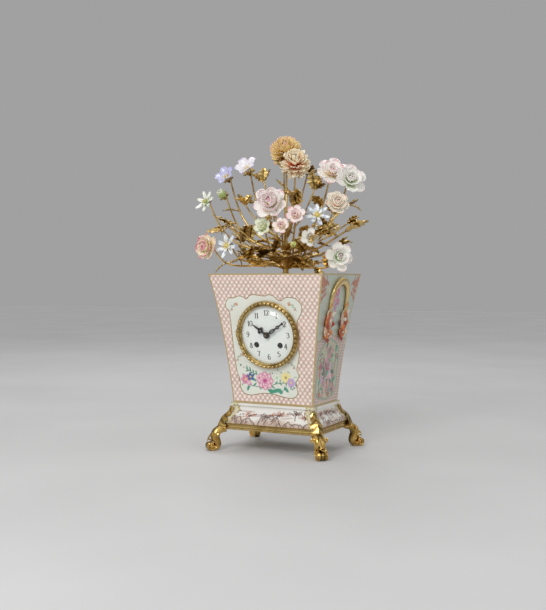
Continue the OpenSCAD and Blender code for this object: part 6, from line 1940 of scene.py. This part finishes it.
@dataclass
class Bouquet:
    """Porcelain flowers on gilt stems, with lobed gilt leaves, all on one trunk in the vase's mouth."""

    trunk_r: float = 4.5
    trunk_z: Pair = (244.3, 318.0)
    stem_r: float = 1.7
    leaf_len: float = 26.0
    lobes: float = 3.5
    rim_leaves: int = 14
    # Outline of a calyx as shares of the flower's radius
    cup: Outline = ((0, -0.52), (0.1, -0.5), (0.16, -0.36), (0.3, -0.16), (0.36, -0.06), (0.2, -0.04),
        (0, -0.08))
    # Middles of the clusters of leaves, how many leaves each has, and their length
    clusters: tuple[tuple[float, float, float, int, float], ...] = ((-70, -30, 322, 4, 25),
        (-32, -8, 386, 4, 24), (26, -22, 348, 5, 26), (62, -30, 306, 5, 24), (-8, -46, 280, 5, 25),
        (24, -46, 272, 5, 25), (-40, -42, 272, 4, 25), (4, -14, 402, 3, 22), (44, 4, 372, 4, 24),
        (-56, -20, 352, 3, 22), (0, 46, 300, 5, 26), (-44, 40, 320, 5, 26), (44, 42, 312, 5, 26),
        (-10, 40, 356, 5, 26), (70, 22, 290, 4, 25), (-78, 10, 300, 4, 25), (20, 30, 396, 4, 24),
        (96, 2, 322, 5, 20), (84, 30, 350, 3, 20), (-92, -10, 322, 3, 20))
    # The two widest leaves: length and width, and from foot to tip; then their tips
    wide_leaf: Pair = (36.5, 19.0)
    wide_reach: float = 36.0
    wide: tuple[Place, ...] = ((-125.4, 2.4, 341.3), (125.4, 4.8, 325.1))

    def stem(self, flower: Flower) -> Array:
        """The middle line of a flower's stem: it leaves the trunk outwards and arrives along the
        direction in which the flower looks.

        Args:
            flower: the flower it carries.

        Returns:
            The middle line.
        """
        start = np.array([0, 0, RIM_Z + TALL * flower.fork])
        end = flower.place - flower.way * flower.radius * 0.5
        out = end - start
        last = unit(flower.way + [0, 0.3, 0.8]) * np.linalg.norm(out) * 0.42
        return bezier(start, start + out * [0.7, 0.7, 0.15], end - last, end, 26)

    def leaf(self, clay: Clay, start: Array, way: Array, length: float, rng: np.random.Generator) -> None:
        """One lobed leaf, with painted highlight on its raised parts and painted shade in its folds and
        along its midrib.

        Args:
            clay: takes the leaf.
            start, way, length: its foot, direction and length.
            rng: for its width, bend and tone.
        """
        grid = lobed(length, length * rng.uniform(0.5, 0.62), self.lobes, rng.uniform(-0.9, 0.5),
            rng.uniform(0.1, 0.4))
        up = np.array([rng.normal(0, 0.35), rng.normal(0, 0.35), 1.0])
        grid = placed(grid, start, way, up)
        s, v = shares(LEAF_ROWS, LEAF_COLUMNS)
        vein = np.cos(2 * np.pi * self.lobes * s + 2.5 * np.abs(v))
        # Painted highlight towards the edges and on the lobes' crests, painted shade along the midrib; the
        # random offset gives each leaf its own tone
        shade = 0.42 + 0.3 * np.abs(v) + 0.3 * vein * np.abs(v)
        shade = np.clip(shade + rng.uniform(-0.15, 0.25) - 0.3 * np.exp(-((v / 0.12) ** 2)), 0, 1)
        clay.slabs(grid[None], 0.8, shade[None, ..., None])

    def greens(self) -> Clay:
        """Trunk, stems, calyces and leaves.

        Returns:
            All gilt surfaces of the bouquet.
        """
        rng = np.random.default_rng(5)
        clay = Clay()
        trunk = np.column_stack([np.zeros(20), np.zeros(20), np.linspace(*self.trunk_z, 20)])
        clay.round(tube(trunk, np.linspace(self.trunk_r, 2.4, 20), 20, 1.0, (0, 1, 0)), 0.8)
        self.stems(clay, rng)
        self.rim(clay, rng)
        self.bunches(clay, rng)
        self.spread(clay)
        return clay

    def stems(self, clay: Clay, rng: np.random.Generator) -> None:
        """Each flower's stem with two leaves, its cup, and five sepals around it.

        Args:
            clay: takes the surfaces.
            rng: for the leaves.
        """
        for flower in FLOWERS:
            path = self.stem(flower)
            clay.round(tube(path, np.linspace(self.stem_r, 1.15, 26), 8), 0.75)
            r = flower.radius
            clay.round(turned(lathe(np.array(self.cup) * r, 14), flower.way) + flower.place, 0.6)
            for k in range(5):
                angle = 2 * math.pi * k / 5
                way = turned(np.array([[math.cos(angle), math.sin(angle), 0.1]]), flower.way)[0]
                sepal = placed(lobed(0.5 * r, 0.22 * r, 1.5, 0.3), flower.place - flower.way * 0.2 * r, way,
                    flower.way)
                clay.slabs(sepal[None], 0.6, 0.5)
            for share, side in ((10, 1), (17, -1)):
                along = unit(path[share + 1] - path[share])
                beside = unit(np.cross(along, flower.way + [0.1, 0.2, 0.1])) * side
                way = along * 0.5 + beside + 0.2 * flower.way
                self.leaf(clay, path[share], way, self.leaf_len * rng.uniform(0.8, 1.0), rng)

    def rim(self, clay: Clay, rng: np.random.Generator) -> None:
        """The ring of longer leaves that hang over the vase's rim.

        Args:
            clay: takes the surfaces.
            rng: for the leaves.
        """
        for i in range(self.rim_leaves):
            angle = 2 * math.pi * (i + 0.3) / self.rim_leaves
            length = self.leaf_len * (1.5 - 0.3 * (i % 2))
            around = np.array([math.cos(angle) * 1.25, math.sin(angle), 0])
            root = around * (10 + 9 * (i % 3)) + [0, 0, 262 + 5.0 * (i % 3)]
            clay.round(tube(np.linspace([0, 0, 258], root, 6), 1.1, 7), 0.6)
            self.leaf(clay, root, around + [0, 0, 0.3 - 0.25 * (i % 2)], length, rng)

    def bunches(self, clay: Clay, rng: np.random.Generator) -> None:
        """The clusters: fans of leaves at the ends of bent stalks.

        Args:
            clay: takes the surfaces.
            rng: for the fans and the leaves.
        """
        for x, y, z, count, length in self.clusters:
            middle = np.array([x, y, z])
            root = np.array([x * 0.25, y * 0.25, RIM_Z + 0.55 * (z - RIM_Z)])
            bend = root + (middle - root) * [0.5, 0.5, 0.15]
            stalk = bezier(root, bend, middle - unit(middle - root) * 8, middle, 14)
            clay.round(tube(stalk, 1.1, 7), 0.7)
            for k in range(count):
                fan = unit(middle - root) + rng.normal(0, 0.55, 3)
                self.leaf(clay, middle, fan, length * rng.uniform(0.8, 1.1), rng)

    def spread(self, clay: Clay) -> None:
        """The wide leaves, whose tips are the widest points of the clock.

        Args:
            clay: takes the surfaces.
        """
        for tip in self.wide:
            tip = np.asarray(tip)
            start = np.array([0, 0, RIM_Z + 20])
            way = unit(tip - start)
            base = tip - way * self.wide_reach
            stalk = bezier(start, start + [0.4 * base[0], 0, 2], base - way * 12, base, 20)
            clay.round(tube(stalk, 1.4, 8), 0.7)
            grid = placed(lobed(*self.wide_leaf, self.lobes, 0.0, 0.2), base, way, (0, 0.2, 1))
            clay.slabs(grid[None], 0.8, 0.75)

    def build(self) -> None:
        """The greens as one piece, and each kind of flower as one."""
        self.greens().piece("bouquet_greens", LEAF_GILT, "case", "leaf_bronze", ["bouquet_branches"])
        slots = {Kind.MUM: "yellow_petals", Kind.PEONY: "pink_petals", Kind.BELL: "lilac_petals",
            Kind.STAR: "green_white_petals", Kind.BUD: "green_white_petals"}
        for kind in Kind:
            clay = Clay()
            for seed, flower in enumerate(FLOWERS):
                if flower.kind is kind:
                    shape = flower.shape(seed + 3)
                    clay.add(shape, lambda p: turned(p, flower.way, 0.4 * seed) + flower.place)
            clay.piece(f"porcelain_{kind.value}", PETAL_GLAZE, "case", slots.get(kind, "white_petals"),
                [kind.value])


# What the part itself shows


@dataclass
class CarriedOver:
    """Finishes of the nodes that are shown as the part has them."""

    finishes: dict[Finish, tuple[str, ...]] = field(default_factory=lambda: {GILT_PLAIN: ("base_frame",
        "top_plate", "bezel_ring", "bezel_hinge_pin", "back_ring", "back_door", "back_hinge_pin"),
        PORCELAIN: ("porcelain_body",), PLINTH_PORCELAIN: ("porcelain_base",), ENAMEL: ("dial",),
        HAND_BRONZE: ("hand_collet",), BELL_METAL: ("bell",), DARK_STEEL: ("going_winding_arbor",
        "strike_winding_arbor"), STEEL: ("case_fasteners", "going_click", "strike_click", "pallet_anchor",
        "bell_hammer", "bell_stand", "clamp_screws")})

    def build(self, nodes: dict[str, Object]) -> None:
        """Gives each named node its finish and every other one brass.

        Args:
            nodes: the part's objects by name.
        """
        chosen = {name: finish for finish, names in self.finishes.items() for name in names}
        for name, node in nodes.items():
            finish = chosen.get(name, BRASS)
            node.data.materials.clear()
            node.data.materials.append(finish.material())
        LOG.info("finishes on %d nodes of the part", len(nodes))


@dataclass
class Studio:
    """Plain pale floor, soft lights, and the camera where the photographer stood."""

    camera_at: Place = (0.5895, -1.1721, 0.2413)
    heading: float = 26.7
    pitch: float = 1.5
    lens: float = 53.56
    shift: float = -0.0209
    backdrop: Colour = (0.355, 0.355, 0.355)
    fill: float = 0.55
    floor_half: float = 6.0
    aim: Place = (0, 0, 0.2)
    # Place, size and power of each soft light
    lights: tuple[tuple[Place, float, float], ...] = (((0.0, -1.6, 1.2), 0.8, 15.0),
        ((1.6, -0.7, 0.8), 0.5, 2.6), ((-0.8, 1.0, 1.6), 0.9, 6.0))

    def floor(self) -> None:
        """A pale matt floor, a little uneven in tone."""
        mesh = bpy.data.meshes.new("floor")
        size = self.floor_half
        mesh.from_pydata([(-size, -size, 0), (size, -size, 0), (size, size, 0), (-size, size, 0)], [],
            [(0, 1, 2, 3)])
        piece = bpy.data.objects.new("floor", mesh)
        bpy.context.scene.collection.objects.link(piece)
        t = Tree("floor_paper")
        t.set(Base_Color=t.mix(t.step(t.noise(3.0), 0.3, 0.7), (0.6, 0.6, 0.6), (0.64, 0.64, 0.64)),
            Roughness=0.8)
        mesh.materials.append(t.material)

    def sky(self) -> None:
        """Plain backdrop for the camera; for reflections a dark room with a bright upper half."""
        world = bpy.data.worlds.new("studio")
        bpy.context.scene.world = world
        world.use_nodes = True
        nodes, links = world.node_tree.nodes, world.node_tree.links
        nodes.clear()

        def put(kind: str, **inputs: object) -> bpy.types.Node:
            """A node with some of its inputs set or linked.

            Args:
                kind: Blender's name of the node.
                inputs: a value or an output for each named input.

            Returns:
                The node.
            """
            node = nodes.new(kind)
            for key, value in inputs.items():
                socket = node.inputs[key.replace("_", " ")]
                if isinstance(value, Socket):
                    links.new(value, socket)
                else:
                    socket.default_value = value
            return node

        path = nodes.new("ShaderNodeLightPath")
        normal = put("ShaderNodeSeparateXYZ", Vector=nodes.new("ShaderNodeTexCoord").outputs["Generated"])
        high = put("ShaderNodeMapRange", Value=normal.outputs["Z"])
        for key, end in zip(("From Min", "From Max", "To Min", "To Max"), (-0.2, 0.9, 0.08, 0.75)):
            high.inputs[key].default_value = end
        mirrored = put("ShaderNodeBackground", Color=(1, 1, 1, 1), Strength=high.outputs[0])
        fill = put("ShaderNodeBackground", Color=(1, 1, 1, 1), Strength=self.fill)
        seen = put("ShaderNodeBackground", Color=(*self.backdrop, 1), Strength=1.0)
        joined = fill
        for ray, shader in (("Is Glossy Ray", mirrored), ("Is Camera Ray", seen),
                ("Is Transmission Ray", seen)):
            step = nodes.new("ShaderNodeMixShader")
            links.new(path.outputs[ray], step.inputs[0])
            links.new(joined.outputs[0], step.inputs[1])
            links.new(shader.outputs[0], step.inputs[2])
            joined = step
        links.new(joined.outputs[0], nodes.new("ShaderNodeOutputWorld").inputs["Surface"])

    def light(self) -> None:
        """Square area lights that look at the clock's middle."""
        for k, (place, size, power) in enumerate(self.lights):
            lamp = bpy.data.lights.new(f"soft_{k}", "AREA")
            lamp.size = size
            lamp.energy = power
            lamp_object = bpy.data.objects.new(f"soft_{k}", lamp)
            bpy.context.scene.collection.objects.link(lamp_object)
            lamp_object.location = place
            way = Vector(self.aim) - Vector(place)
            lamp_object.rotation_euler = way.to_track_quat("-Z", "Y").to_euler()

    def camera(self) -> None:
        """The photograph's camera: its heading is counted from +Y towards -X, its pitch downwards."""
        data = bpy.data.cameras.new("camera")
        data.lens = self.lens
        data.sensor_width = 36.0
        data.shift_x = self.shift
        camera = bpy.data.objects.new("camera", data)
        bpy.context.scene.collection.objects.link(camera)
        camera.location = self.camera_at
        a, b = math.radians(self.heading), math.radians(self.pitch)
        way = Vector((-math.sin(a) * math.cos(b), math.cos(a) * math.cos(b), -math.sin(b)))
        camera.rotation_euler = way.to_track_quat("-Z", "Y").to_euler()
        bpy.context.scene.camera = camera

    def build(self) -> None:
        """Floor, surroundings, lights and camera."""
        self.floor()
        self.sky()
        self.light()
        self.camera()
        bpy.context.scene.view_settings.view_transform = "Standard"


def main() -> None:
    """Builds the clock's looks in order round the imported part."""
    logging.basicConfig(level=logging.INFO, format="%(message)s")
    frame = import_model()
    for part in (Vase(), Plinth(), ScrollFeet(), Handles(), Bezel(), Dial(), Bouquet()):
        LOG.info("building %s", type(part).__name__)
        part.build()
    CarriedOver().build(frame["nodes"])
    Studio().build()


if __name__ == "__main__":
    main()
